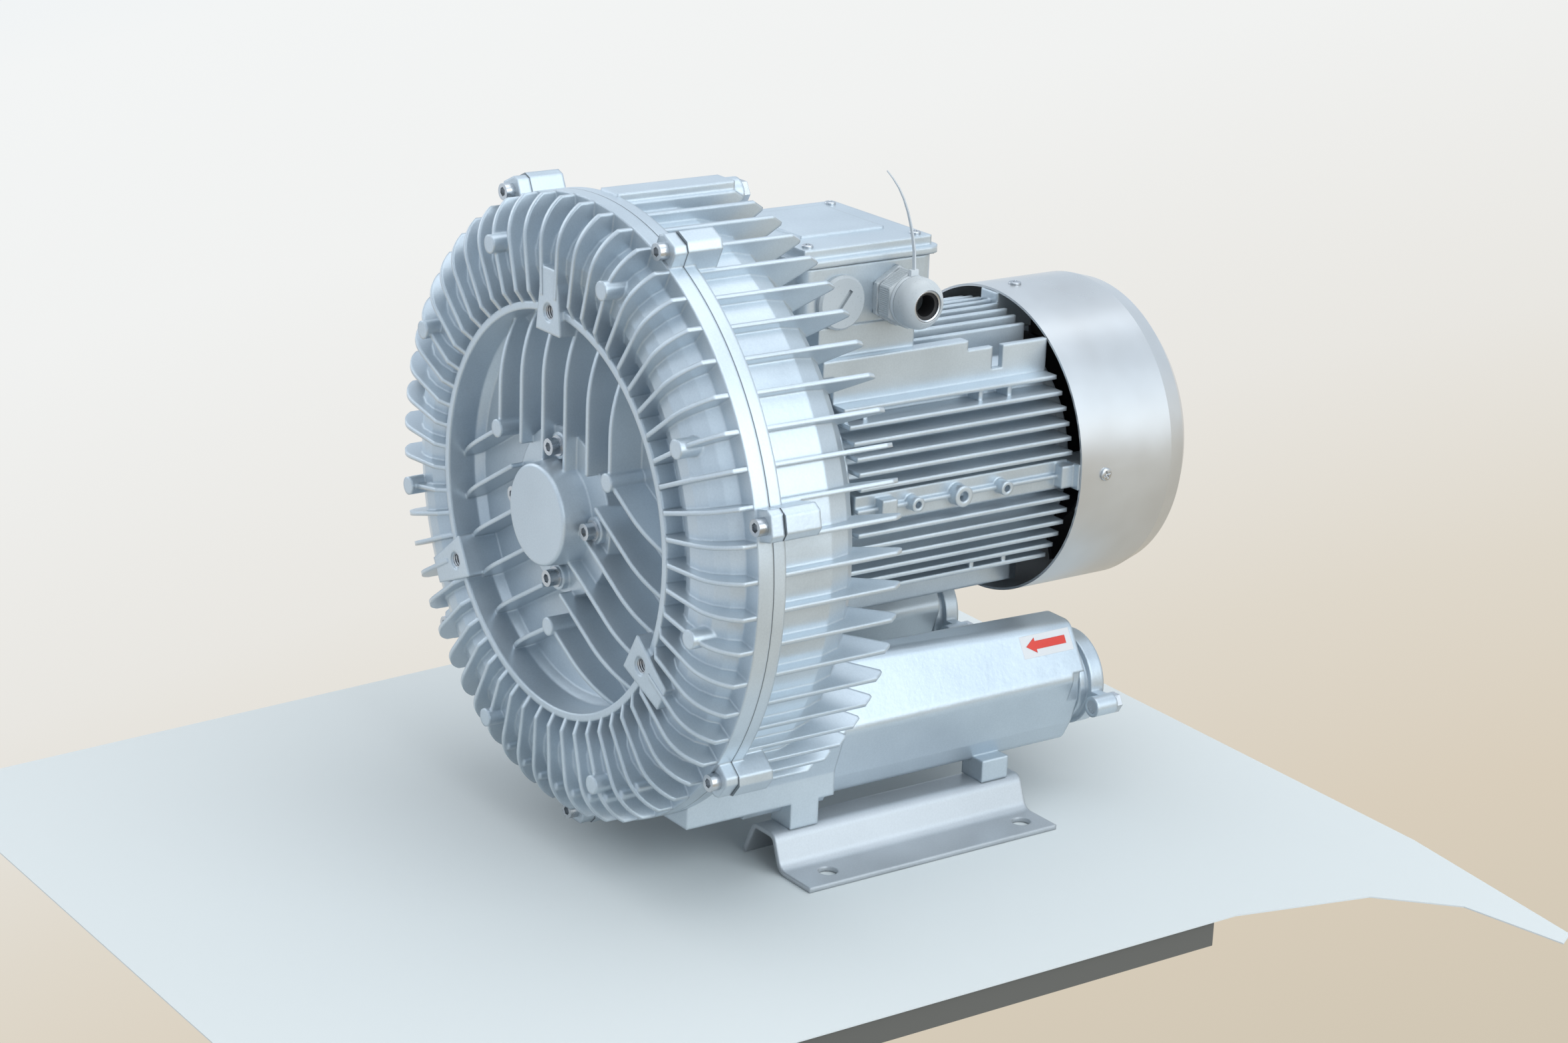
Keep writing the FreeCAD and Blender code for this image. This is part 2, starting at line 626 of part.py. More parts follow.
def cap_washers():
    body = make_body("bearing_cap_washers")
    sketch = across(body, -S.cap_screw_seat_height - S.washer_thickness)
    add_circle(sketch, 0, S.cap_screw_circle, S.washer_radius)
    add_circle(sketch, 0, S.cap_screw_circle, S.lug_screw_thread + S.fit_gap)
    ring_of(body, [pad(body, sketch, S.washer_thickness)], 4)


def bearing_cap():
    """The inner retainer that the four hub screws pull against the front bearing."""
    body = make_body("bearing_cap")
    front = -S.cap_depth
    rear = S.cap_thickness - S.cap_depth
    seat_end = -S.hub_height + S.hub_wall + S.front_width
    turned(body, [(seat_end, S.front_outer - 4), (front, S.front_outer - 4), (front, S.front_outer + 2),
                  (front, S.cap_radius),
                  (rear, S.cap_radius), (rear, S.cap_bore), (front - 2, S.cap_bore),
                  (front - 2, S.front_outer - 7),
                  (seat_end, S.front_outer - 7)])
    hole = add_circle(across(body, front), 0, S.cap_screw_circle, S.lug_screw_thread + S.fit_gap)
    ring_of(body, [pad(body, hole, S.cap_thickness, cut=True)], 4)


def bearing(name, start, bore, outer, width):
    """A deep groove bearing in three nodes: outer ring, inner ring, and balls in their cage."""
    middle = (bore + outer) / 2
    centre = start + width / 2
    groove = (outer - bore) / 2 - S.race_wall
    ring = make_body(name + "_outer_ring")
    tube(ring, start, start + width, middle + groove, outer)
    ring = make_body(name + "_inner_ring")
    tube(ring, start, start + width, bore, middle - groove)
    balls = make_body(name + "_balls")
    radius = groove - S.fit_gap * 1.5
    cage = across(balls, centre - S.race_wall / 2)
    many_sided(cage, 0, 0, middle + S.race_wall / 4, 16)
    many_sided(cage, 0, 0, middle - S.race_wall / 4, 16)
    pad(balls, cage, S.race_wall)
    belly = pad(balls, many_sided(along(balls), centre, middle, radius, 8), radius * 0.6, both=True)
    cheeks = pad(balls, many_sided(along(balls), centre, middle, radius * 0.6, 8), radius * 1.8, both=True)
    ring_of(balls, [belly, cheeks], S.ball_count)


# Rotor

def shaft():
    body = make_body("shaft")
    front = S.front_bore - S.fit_gap
    seat = S.impeller_seat - S.fit_gap
    drive = S.drive_bore - S.fit_gap
    shoulder = S.drive_bearing + S.drive_width
    rear = S.motor_end + S.shield_seat
    turned(body, [
        (-S.shaft_end, 0), (-S.shaft_end, front), (-S.hub_height + S.hub_wall + S.front_width, front),
        (-S.hub_height + S.hub_wall + S.front_width, seat - 0.5),
        (S.impeller_start + S.impeller_nut, seat - 0.5),
        (S.impeller_start + S.impeller_nut, seat), (S.impeller_width, seat), (S.impeller_width, drive),
        (shoulder, drive),
        (shoulder, S.shaft_radius - S.fit_gap), (rear, S.shaft_radius - S.fit_gap), (rear, front),
        (S.fan_start - 1, front), (S.fan_start - 1, S.fan_seat - S.fit_gap),
        (S.shaft_tail, S.fan_seat - S.fit_gap),
        (S.shaft_tail, 0)])
    dress(body, "Chamfer", 1, lambda edge: is_round_at(edge, -S.shaft_end, front))


def impeller():
    """The impeller wheel: bored hub, dished web, rim and a ring of radial blades with their mid web."""
    body = make_body("impeller")
    width = S.impeller_width - S.impeller_start
    hub = S.impeller_seat + S.impeller_bore_wall
    front = S.impeller_start + S.impeller_nut
    centre = S.impeller_width / 2
    half = S.impeller_web / 2
    rim = S.blade_root - S.running_gap
    turned(body, [
        (front, S.impeller_seat), (front, hub), (centre - half, hub + 4), (centre - half, rim - 8),
        (S.impeller_start, rim - 6), (S.impeller_start, rim), (centre - 1.5, rim),
        (centre - 1.5, S.impeller_tip - 12),
        (centre + 1.5, S.impeller_tip - 12), (centre + 1.5, rim), (width, rim), (width, rim - 6),
        (centre + half, rim - 8), (centre + half, hub + 4), (width, hub), (width, S.impeller_seat)])
    blade = along(body)
    draw(blade, [(S.impeller_start, rim - 2), (S.impeller_start, S.impeller_tip), (width, S.impeller_tip),
                 (width, rim - 2)])
    ring_of(body, [pad(body, blade, S.blade_thickness, both=True)], S.blade_count)


def impeller_nut():
    body = make_body("impeller_nut")
    sketch = across(body, S.impeller_start)
    add_hexagon(sketch, ON_AXIS, ON_AXIS, S.impeller_nut_radius)
    add_circle(sketch, 0, 0, S.impeller_seat - 0.5)
    pad(body, sketch, S.impeller_nut)


def shaft_seal():
    body = make_body("shaft_seal")
    tube(body, S.impeller_width + 1.5, S.impeller_width + 9.5, S.drive_bore + 0.35,
         S.impeller_seat + 6 - S.fit_gap)


def rotor_core():
    body = make_body("rotor_core")
    tube(body, S.core_start, S.core_start + S.core_length, S.shaft_radius, S.stator_bore - S.air_gap)
    for name, start in (("rotor_end_ring_front", S.core_start - S.end_ring_length),
                        ("rotor_end_ring_rear", S.core_start + S.core_length)):
        ring = make_body(name)
        tube(ring, start, start + S.end_ring_length, S.end_ring_inner, S.stator_bore - S.air_gap - 1)


# Motor

def stator():
    body = make_body("stator_core")
    tube(body, S.core_start, S.core_start + S.core_length, S.stator_bore, S.frame_inner - S.fit_gap)
    for name, start in (("stator_winding_front", S.core_start - S.winding_length),
                        ("stator_winding_rear", S.core_start + S.core_length)):
        ring = make_body(name)
        tube(ring, start, start + S.winding_length, S.winding_inner, S.winding_outer)
        free_end = start if "front" in name else start + S.winding_length
        dress(ring, "Chamfer", 4, lambda edge: is_round_at(edge, free_end, S.winding_outer))


def fin_stack(body, upright, places):
    """Parallel fins on one side of the frame and its mirror, their crests on the fin circle."""
    half = S.motor_fin_thickness / 2
    root = S.frame_inner + 2
    sketch = across(body, S.motor_fin_start)
    for place in places:
        middle = S.motor_fin_pitch * place
        inner = root.leg(middle) if abs(value_of(middle)) < value_of(root) else Size(5, "5")
        outer = S.fin_circle.leg(middle)
        if upright:
            rectangle(sketch, middle - half, middle + half, inner, outer)
        else:
            rectangle(sketch, inner, outer, middle - half, middle + half)
    return pad(body, sketch, S.motor_fin_end - S.motor_fin_start)


def side_band(body):
    """The flat side band with three tubular bosses, a square lug and a bracket by the cowl."""
    made = [pad(body, rectangle(across(body, S.motor_fin_start), S.frame_inner + 3, S.band_radius,
                                -S.band_half_height, S.band_half_height),
                                S.motor_fin_end - S.motor_fin_start)]
    reach = S.fin_circle + 2
    for place, radius in ((169, 4.5), (203, 6.5), (236, 4.5)):
        boss = add_circle(along(body, S.band_radius - 1), Size(place, str(place)), 0, radius)
        add_circle(boss, Size(place, str(place)), 0, radius / 2)
        made.append(pad(body, boss, reach - S.band_radius + 1))
    lug = rectangle(along(body, S.band_radius - 1), Size(143, "143"), Size(154, "154"), Size(-6, "(0 - 6)"),
                    Size(6, "6"))
    made.append(pad(body, lug, reach - S.band_radius))
    bracket = rectangle(along(body, S.band_radius - 1), S.motor_fin_end - 9, S.motor_fin_end,
                        Size(-7, "(0 - 7)"), Size(7, "7"))
    made.append(pad(body, bracket, reach - S.band_radius))
    thin = rectangle(along(body, S.band_radius - 1), S.motor_fin_start, S.motor_fin_end,
                     Size(-1.2, "(0 - 1.2)"), Size(1.2, "1.2"))
    made.append(pad(body, thin, S.fin_circle - S.band_radius - 2))
    return made


def motor_frame():
    body = make_body("motor_frame")
    tube(body, S.motor_start, S.motor_end, S.frame_inner, S.frame_outer)
    turned(body, [(S.motor_start, S.frame_outer - 1), (S.motor_start, S.frame_outer + 8),
                  (S.motor_start + 8, S.frame_outer + 8), (S.motor_start + 8, S.frame_outer - 1)])
    pedestal(body)
    bore = add_circle(across(body, S.motor_start), 0, 0, S.frame_inner)
    pad(body, bore, S.motor_end - S.motor_start, cut=True)
    sides = fin_stack(body, False, FIN_LEVELS)
    low_sides = fin_stack(body, False, [-level for level in FIN_LEVELS])
    fin_stack_below(body)
    fin_stack_above(body)
    mirrored(body, [sides, low_sides] + side_band(body) + side_plate(body), "YZ_Plane")
    cowl_lugs(body)


def side_plate(body):
    """The upright plate beside the box seat, with its open slot, and the webs that tie two fins below it."""
    foot = (S.frame_inner + 2).leg(S.plate_outer - S.plate_wall)
    plate = rectangle(across(body, S.motor_fin_start), S.plate_outer - S.plate_wall, S.plate_outer, foot,
                      S.plate_top)
    made = [pad(body, plate, S.motor_fin_end - S.motor_fin_start)]
    slot = rectangle(along(body, S.plate_outer), S.plate_slot - S.slot_half, S.plate_slot + S.slot_half,
                     S.slot_low, S.plate_top)
    made.append(pad(body, slot, S.plate_wall, forward=False, cut=True))
    for level, places in ((WEB_LEVEL, UPPER_WEBS), (-WEB_LEVEL, LOWER_WEBS)):
        webs = along(body, S.plate_outer)
        low = S.motor_fin_pitch * (level - 0.5)
        for place in places:
            rectangle(webs, Size(place, str(place)) - S.web_half, Size(place, str(place)) + S.web_half,
                      low, low + S.motor_fin_pitch)
        made.append(pad(body, webs, S.web_reach))
    return made


def fin_stack_below(body):
    half = S.motor_fin_thickness / 2
    sketch = across(body, S.motor_fin_start)
    for place in range(-4, 5):
        middle = S.motor_fin_pitch * place
        rectangle(sketch, middle - half, middle + half, -S.fin_circle.leg(middle),
                  -(S.frame_inner + 2).leg(middle))
    return pad(body, sketch, S.motor_fin_end - S.motor_fin_start)


def fin_stack_above(body):
    """Upright fins behind the terminal box."""
    half = S.motor_fin_thickness / 2
    sketch = across(body, S.pedestal_end)
    for place in range(-4, 5):
        middle = S.motor_fin_pitch * place
        rectangle(sketch, middle - half, middle + half, (S.frame_inner + 2).leg(middle),
                  S.fin_circle.leg(middle))
    return pad(body, sketch, S.motor_fin_end - S.pedestal_end)


def pedestal(body):
    """The cast seat that carries the terminal box."""
    half = S.pedestal_half_width
    start = S.pedestal_start + 8
    seat = rectangle(across(body, start), -half, half, (S.frame_inner + 2).leg(half), S.box_floor)
    pad(body, seat, S.pedestal_end - start)
    shelves = across(body, start)
    inner = S.plate_outer - 2 * S.plate_wall
    for low, high in ((inner, S.plate_outer), (-S.plate_outer, -inner)):
        rectangle(shelves, low, high, S.plate_top - S.plate_wall, S.shelf_top)
    pad(body, shelves, S.shelf_end - start)
    opening = rectangle(flat(body, S.box_floor), Size(-18, "(0 - 18)"), Size(18, "18"), S.pedestal_start + 30,
                        S.pedestal_end - 20)
    pad(body, opening, 14, forward=False, cut=True)


def cowl_lugs(body):
    """Four lugs at the rear of the frame that carry the cowl."""
    inner = S.cowl_radius - S.cowl_wall
    half = S.cowl_lug_width / 2
    sketch = across(body, S.motor_end - 4)
    draw(sketch, [(-half, S.frame_outer - 2), (half, S.frame_outer - 2), (half, inner.leg(half)),
                  (-half, inner.leg(half))])
    lug = pad(body, sketch, S.cowl_screws + 8 - S.motor_end + 4)
    hole = pad(body, add_circle(flat(body, inner), 0, S.cowl_screws, 2.05), 12, forward=False, cut=True)
    ring_of(body, [lug, hole], 4)


def rear_shield():
    body = make_body("rear_shield")
    rear = S.motor_end + S.shield_boss_length
    seat = S.front_outer + S.fit_gap
    start = S.motor_end + S.shield_seat
    radius = S.frame_outer - 3
    turned(body, [
        (S.motor_end, S.shaft_radius + 2), (S.motor_end, radius), (S.motor_end + S.shield_thickness, radius),
        (S.motor_end + S.shield_thickness, S.shield_boss), (rear, S.shield_boss), (rear, seat), (start, seat),
        (start, S.shaft_radius + 2)])


def cooling_fan():
    body = make_body("cooling_fan")
    start = S.fan_start
    end = S.fan_start + S.fan_length
    turned(body, [(start, S.fan_seat), (end, S.fan_seat), (end, S.fan_hub - 3),
                  (start + S.fan_plate, S.fan_hub),
                  (start + S.fan_plate, S.fan_radius - 20), (start, S.fan_radius - 20)])
    blade = along(body)
    draw(blade, [(start + 1, S.fan_hub - 4), (end - 1, S.fan_hub - 4), (end + 2, S.fan_radius - 6),
                 (end - 3, S.fan_radius), (start - 1, S.fan_radius), (start + 1, S.fan_radius - 22)])
    ring_of(body, [pad(body, blade, S.fan_plate, both=True)], S.fan_blades)


def fan_circlip():
    body = make_body("fan_circlip")
    end = S.fan_start + S.fan_length
    tube(body, end, end + 1.5, S.fan_seat, S.fan_seat + 3)


def fan_cowl():
    """The pressed cowl with a rounded rear corner and an air grille of slots."""
    body = make_body("fan_cowl")
    outer = S.cowl_radius
    inner = outer - S.cowl_wall
    corner = S.cowl_corner
    middle = (S.cowl_end - corner, outer - corner)
    rear_inner = S.cowl_end - S.cowl_wall
    turned(body, [
        (S.cowl_start, inner), (S.cowl_start, outer), (S.cowl_end - corner, outer),
        *bend(middle, corner, 60, 30), (S.cowl_end, outer - corner), (S.cowl_end, 0), (rear_inner, 0),
        (rear_inner, outer - corner), *bend(middle, corner - S.cowl_wall, 45),
        (S.cowl_end - corner, inner)])
    slots = []
    for low, high in ((22, 44), (49, 70)):
        slot = rectangle(across(body, S.cowl_end), Size(-2.5, "(0 - 2.5)"), Size(2.5, "2.5"),
                         Size(low, str(low)), Size(high, str(high)))
        slots.append(pad(body, slot, S.cowl_wall + 1, forward=False, cut=True))
    ring_of(body, slots, S.cowl_slot_count)
    hole = pad(body, add_circle(flat(body, outer + 1), 0, S.cowl_screws, 2.05), S.cowl_wall + 3,
               forward=False, cut=True)
    ring_of(body, [hole], 4)


def cowl_screws():
    body = make_body("cowl_screws")
    head = pad(body, add_circle(flat(body, S.cowl_radius), 0, S.cowl_screws, 4), 2)
    shank = pad(body, add_circle(flat(body, S.cowl_radius), 0, S.cowl_screws, 2), 10, forward=False)
    ring_of(body, [head, shank], 4)


# Terminal box

def box_outline(sketch, grow=0):
    half = S.box_half_width
    return rectangle(sketch, -half - grow, half + grow, S.box_start - grow, S.box_end + grow)


def terminal_box():
    body = make_body("terminal_box")
    pad(body, box_outline(flat(body, S.box_floor)), S.box_rim - S.box_floor)
    dress(body, "Fillet", S.box_corner, lambda edge: runs_along(edge, UPWARD))
    pad(body, box_outline(flat(body, S.box_rim), -1 * S.box_wall), S.box_rim - S.box_floor - S.box_floor_wall,
        forward=False, cut=True)
    entries = along(body, S.box_half_width)
    add_circle(entries, S.gland_place, S.entry_height, S.gland_bore)
    add_circle(entries, S.plug_place, S.entry_height, S.gland_bore)
    pad(body, entries, S.box_wall, forward=False, cut=True)
    floor_hole = rectangle(flat(body, S.box_floor), Size(-18, "(0 - 18)"), Size(18, "18"),
                           S.pedestal_start + 30, S.pedestal_end - 20)
    pad(body, floor_hole, S.box_floor_wall, cut=True)


def lid_gasket():
    body = make_body("lid_gasket")
    sketch = flat(body, S.box_rim)
    box_outline(sketch, -0.5)
    box_outline(sketch, -1 * S.box_wall)
    pad(body, sketch, S.gasket)


def terminal_lid():
    body = make_body("terminal_lid")
    start = S.box_rim + S.gasket
    pad(body, box_outline(flat(body, start), S.lid_overhang), S.lid_edge)
    dress(body, "Fillet", S.box_corner, lambda edge: runs_along(edge, UPWARD))
    pad(body, box_outline(flat(body, start + S.lid_edge), -2), S.lid_height)
    pad(body, rectangle(flat(body, start + S.lid_edge + S.lid_height), Size(-38, "(0 - 38)"), Size(24, "24"),
                        S.box_start + 18, S.box_end - 18), S.lid_pad)


def lid_screws():
    body = make_body("lid_screws")
    top = S.box_rim + S.gasket + S.lid_edge + S.lid_height
    heads = flat(body, top)
    for side in (-1, 1):
        for y in (S.box_start + 9, S.box_end - 9):
            add_circle(heads, (S.box_half_width - 9) * side, y, 3.5)
    pad(body, heads, 2)


def terminal_board():
    body = make_body("terminal_board")
    floor = S.box_floor + S.box_floor_wall
    pad(body, rectangle(flat(body, floor), Size(-30, "(0 - 30)"), Size(30, "30"), S.box_start + 8,
                        S.box_start + 30), 10)
    studs = make_body("terminal_studs")
    sketch = flat(studs, floor + 10)
    nuts = flat(studs, floor + 10)
    for x in (-20, 0, 20):
        for y in (S.box_start + 13, S.box_start + 25):
            add_circle(sketch, Size(x, str(x)) if x else 0, y, 2)
            add_hexagon(nuts, Size(x, str(x)) if x else ON_AXIS, y, Size(4, "4"))
    pad(studs, sketch, 10)
    pad(studs, nuts, 3)


def gland():
    """The cable gland: body with hexagon, dome nut and rubber seal."""
    out = S.box_half_width
    place = S.gland_place
    height = S.entry_height
    body = make_body("gland_body")
    hexagon = add_hexagon(along(body, out), place, height, S.gland_hex)
    add_circle(hexagon, place, height, S.cable_bore + 1.5)
    pad(body, hexagon, S.gland_hex_length)
    neck = add_circle(along(body, out + S.gland_hex_length), place, height, S.gland_neck_radius)
    add_circle(neck, place, height, S.cable_bore + 1.5)
    pad(body, neck, S.gland_neck)
    thread = add_circle(along(body, out), place, height, S.gland_bore - S.fit_gap)
    add_circle(thread, place, height, S.cable_bore + 1.5)
    pad(body, thread, S.box_wall + 2, forward=False)
    dome_start = out + S.gland_hex_length + S.gland_neck
    dome = make_body("gland_dome_nut")
    shape = add_circle(along(dome, dome_start), place, height, S.dome_radius)
    pad(dome, shape, S.dome_length)
    dress(dome, "Chamfer", 4, lambda edge: edge.BoundBox.XMin > value_of(dome_start + S.dome_length) - 0.01)
    pad(dome, add_circle(along(dome, dome_start + S.dome_length), place, height, S.cable_bore + 3),
        S.dome_length,
        forward=False, cut=True)
    seal = make_body("gland_seal")
    ring = add_circle(along(seal, dome_start), place, height, S.cable_bore + 3 - S.fit_gap)
    add_circle(ring, place, height, S.cable_bore)
    pad(seal, ring, S.dome_length - 2)


def blanking_plug():
    body = make_body("blanking_plug")
    out = S.box_half_width
    pad(body, add_circle(along(body, out), S.plug_place, S.entry_height, S.plug_radius), S.plug_head)
    dress(body, "Chamfer", 1.5, lambda edge: edge.BoundBox.XMin > value_of(out + S.plug_head) - 0.01)
    slot = sketch_on(body, "YZ_Plane", out + S.plug_head)
    half = 9
    width = 1.4
    dy = half * math.cos(math.radians(52))
    dz = half * math.sin(math.radians(52))
    wy = width * math.sin(math.radians(52))
    wz = width * math.cos(math.radians(52))
    draw(slot, [(S.plug_place - dy - wy, S.entry_height - dz + wz),
                (S.plug_place - dy + wy, S.entry_height - dz - wz),
                (S.plug_place + dy + wy, S.entry_height + dz - wz),
                (S.plug_place + dy - wy, S.entry_height + dz + wz)])
    pad(body, slot, 2, forward=False, cut=True)
    pad(body, add_circle(along(body, out), S.plug_place, S.entry_height, S.gland_bore - S.fit_gap),
        S.box_wall + 4, forward=False)


def cable_tie():
    """A cable tie round the gland's neck, its head on top and its tail standing up."""
    body = make_body("cable_tie")
    start = S.box_half_width + S.gland_hex_length + 0.2
    inner = S.gland_neck_radius + S.fit_gap
    loop = add_circle(along(body, start), S.gland_place, S.entry_height, inner + 1.3)
    add_circle(loop, S.gland_place, S.entry_height, inner)
    width = S.gland_neck - 0.4
    pad(body, loop, width)
    top = S.entry_height + inner
    head = rectangle(along(body, start), S.gland_place - 3, S.gland_place + 3, top + 0.3, top + 5)
    pad(body, head, width)
    tail = along(body, start)
    place = S.gland_place
    draw(tail, [(place - 0.4, top + 4), (place + 0.6, top + 4), (place - 2.2, top + 27),
                (place - 9.5, top + 45),
                (place - 23, top + 66), (place - 23.9, top + 65.5), (place - 10.5, top + 44.6),
                (place - 3.2, top + 26.6)])
    pad(body, tail, width)


# Silencers, ports and feet

def silencer(side, name):
    """A tapered six-sided cast silencer, bored for its liner, with a pad under its rear end."""
    body = make_body(name)
    length = S.silencer_end - S.silencer_start
    section = silencer_section(across(body, S.silencer_start), side, S.silencer_top_front)
    pad(body, section, length)
    slope = draw(along(body, S.port_x * side), [
        (S.silencer_start, -S.silencer_top_front), (S.silencer_start, -S.silencer_top_front + 9),
        (S.silencer_end, -S.silencer_top_front + 9), (S.silencer_end, -S.silencer_top_rear)])
    pad(body, slope, S.silencer_ridge, both=True, cut=True)
    dress(body, "Fillet", S.silencer_rounding, lambda edge: edge.BoundBox.YLength > 100)
    bore = add_circle(across(body, S.silencer_start), S.port_x * side, -S.port_drop, S.silencer_bore)
    pad(body, bore, S.silencer_end - S.silencer_start - S.port_base, cut=True)
    outlet = add_circle(across(body, S.silencer_end), S.port_x * side, -S.port_drop, S.outlet_bore)
    pad(body, outlet, S.port_base, forward=False, cut=True)
    ridge = S.port_x + S.silencer_ridge
    notch = rectangle(across(body, S.silencer_end - 9), (ridge - 6) * side, (ridge + 2) * side,
                      -S.port_drop - 8, -S.port_drop + 14)
    pad(body, notch, 9, cut=True)
    middle = (S.hump_inner + S.hump_outer) / 2 * side
    seat = S.axis_height - S.hump_height
    foot_pad = rectangle(flat(body, -seat), middle - S.pad_half, middle + S.pad_half,
                         S.foot_bolt_rear - S.pad_half, S.foot_bolt_rear + S.pad_half)
    pad(body, foot_pad, S.axis_height - S.hump_height - S.silencer_bottom + 4)
    pad(body, add_circle(flat(body, -seat), middle, S.foot_bolt_rear, S.foot_bolt), 12, cut=True)


def liner(side, name):
    body = make_body(name)
    outer = add_circle(across(body, S.silencer_start), S.port_x * side, -S.port_drop,
                       S.silencer_bore - S.fit_gap)
    add_circle(outer, S.port_x * side, -S.port_drop, S.silencer_bore - S.liner_wall)
    pad(body, outer, S.silencer_end - S.silencer_start - S.port_base)


def port_flange(side, name):
    """The round port with its internal thread, two bolt ears and their long bosses."""
    body = make_body(name)
    x = S.port_x * side
    neck = add_circle(across(body, S.silencer_end), x, -S.port_drop, S.port_neck)
    pad(body, neck, S.port_end - S.silencer_end)
    disc = add_circle(across(body, S.port_end), x, -S.port_drop, S.port_flange_radius)
    pad(body, disc, S.port_flange_thickness, forward=False)
    ears = rectangle(across(body, S.port_end - 3), x - S.ear_reach, x + S.ear_reach,
                     -S.ear_drop - S.ear_radius, -S.ear_drop + S.ear_radius)
    pad(body, ears, S.port_flange_thickness - 3, forward=False)
    bosses = across(body, S.port_end)
    holes = across(body, S.port_end)
    for ear in (-1, 1):
        add_circle(bosses, x + S.ear_reach * ear, -S.ear_drop, S.ear_radius)
        add_circle(holes, x + S.ear_reach * ear, -S.ear_drop, S.port_bolt + S.fit_gap)
    pad(body, bosses, S.port_flange_thickness + 6, forward=False)
    pad(body, add_circle(across(body, S.port_end), x, -S.port_drop, S.port_bore), S.port_end - S.silencer_end,
        forward=False, cut=True)
    pad(body, holes, S.port_end - S.silencer_end, forward=False, cut=True)


def foot_outline(sketch, side):
    """The wave section of a pressed foot: a flat flange, a raised hump and a turned-down inner edge."""
    base = -S.axis_height
    sheet = S.foot_sheet
    top = base + S.hump_height
    corners = [
        (S.foot_outer, base), (S.foot_outer, base + sheet), (S.foot_bend, base + sheet), (S.hump_outer, top),
        (S.hump_inner, top), (S.foot_toe, base + sheet), (S.foot_toe + sheet, base + sheet - 2),
        (S.hump_inner + 2, top - sheet), (S.hump_outer - 2, top - sheet), (S.foot_bend - 2.5, base)]
    return draw(sketch, [(x * side, z) for x, z in corners])


def is_bend(edge, height):
    """True for an edge of the foot along the motor axis at this height, apart from its outer rim."""
    at_height = abs(edge.BoundBox.Center.z - value_of(height)) < 0.01
    return runs_along(edge, FORWARD) and at_height and abs(edge.BoundBox.Center.x) < value_of(S.foot_hole_x)


def foot(side, name):
    body = make_body(name)
    pad(body, foot_outline(across(body, S.foot_start), side), S.foot_length)
    top = -S.axis_height + S.hump_height
    dress(body, "Fillet", S.foot_rounding, lambda edge: is_bend(edge, top - S.foot_sheet))
    dress(body, "Fillet", S.foot_rounding + S.foot_sheet, lambda edge: is_bend(edge, top))
    floor = -S.axis_height + S.foot_sheet
    outer = value_of(S.hump_outer)
    dress(body, "Fillet", S.foot_rounding + S.foot_sheet,
          lambda edge: is_bend(edge, floor) and abs(edge.BoundBox.Center.x) > outer)
    dress(body, "Fillet", S.foot_rounding + S.foot_sheet * 2,
          lambda edge: is_bend(edge, -S.axis_height) and abs(edge.BoundBox.Center.x) < value_of(S.foot_bend))
    holes = flat(body, -S.axis_height)
    for step in (-1, 1):
        add_circle(holes, S.foot_hole_x * side, S.parting_to_feet + S.foot_hole_pitch / 2 * step, S.foot_hole)
    pad(body, holes, S.foot_sheet, cut=True)
    bolts = flat(body, -S.axis_height + S.hump_height)
    middle = (S.hump_inner + S.hump_outer) / 2 * side
    for place in (S.foot_bolt_front, S.foot_bolt_rear):
        add_circle(bolts, middle, place, S.foot_bolt + S.fit_gap)
    pad(body, bolts, S.foot_sheet + 1, forward=False, cut=True)


def foot_bolts():
    """Hexagon bolts that hold the feet from below."""
    body = make_body("foot_bolts")
    under = -S.axis_height + S.hump_height - S.foot_sheet
    heads = flat(body, under)
    shanks = flat(body, under)
    for side in (-1, 1):
        middle = (S.hump_inner + S.hump_outer) / 2 * side
        for place in (S.foot_bolt_front, S.foot_bolt_rear):
            add_hexagon(heads, middle, place, Size(7.5, "7.5"))
            add_circle(shanks, middle, place, S.foot_bolt - S.fit_gap)
    pad(body, heads, 5, forward=False)
    pad(body, shanks, S.foot_sheet + 9)


def port_bolts():
    body = make_body("port_bolts")
    start = S.port_end
    heads = across(body, start)
    shanks = across(body, start)
    for side in (-1, 1):
        for ear in (-1, 1):
            add_hexagon(heads, S.port_x * side + S.ear_reach * ear, -S.ear_drop, Size(6.5, "6.5"))
            add_circle(shanks, S.port_x * side + S.ear_reach * ear, -S.ear_drop, S.port_bolt)
    pad(body, heads, 4)
    pad(body, shanks, S.port_end - S.silencer_end, forward=False)


def build():
    front_cover()
    blower_housing()
    lifting_plug()
    socket_screws("flange_screws", -S.lug_screw_radius, -S.cover_lug, S.lug_screw_length, S.lug_count)
    socket_screws("bearing_cap_screws", S.cap_screw_circle, -S.cap_screw_seat_height - S.washer_thickness,
                  S.cap_screw_seat_height - 1, 4)
    cap_washers()
    bearing_cap()
    bearing("front_bearing", -S.hub_height + S.hub_wall, S.front_bore, S.front_outer, S.front_width)
    bearing("drive_bearing", S.drive_bearing, S.drive_bore, S.drive_outer, S.drive_width)
    bearing("rear_bearing", S.motor_end + S.shield_seat, S.front_bore, S.front_outer, S.rear_width)
    shaft()
    impeller()
    impeller_nut()
    shaft_seal()
    rotor_core()
    stator()
    motor_frame()
    rear_shield()
    cooling_fan()
    fan_circlip()
    fan_cowl()
    cowl_screws()
    terminal_box()
    lid_gasket()
    terminal_lid()
    lid_screws()
    terminal_board()
    gland()
    blanking_plug()
    cable_tie()
    for side, word in ((1, "right"), (-1, "left")):
        silencer(side, "silencer_" + word)
        liner(side, "liner_" + word)
        port_flange(side, "port_flange_" + word)
        foot(side, "foot_" + word)
    foot_bolts()
    port_bolts()
    doc.recompute()


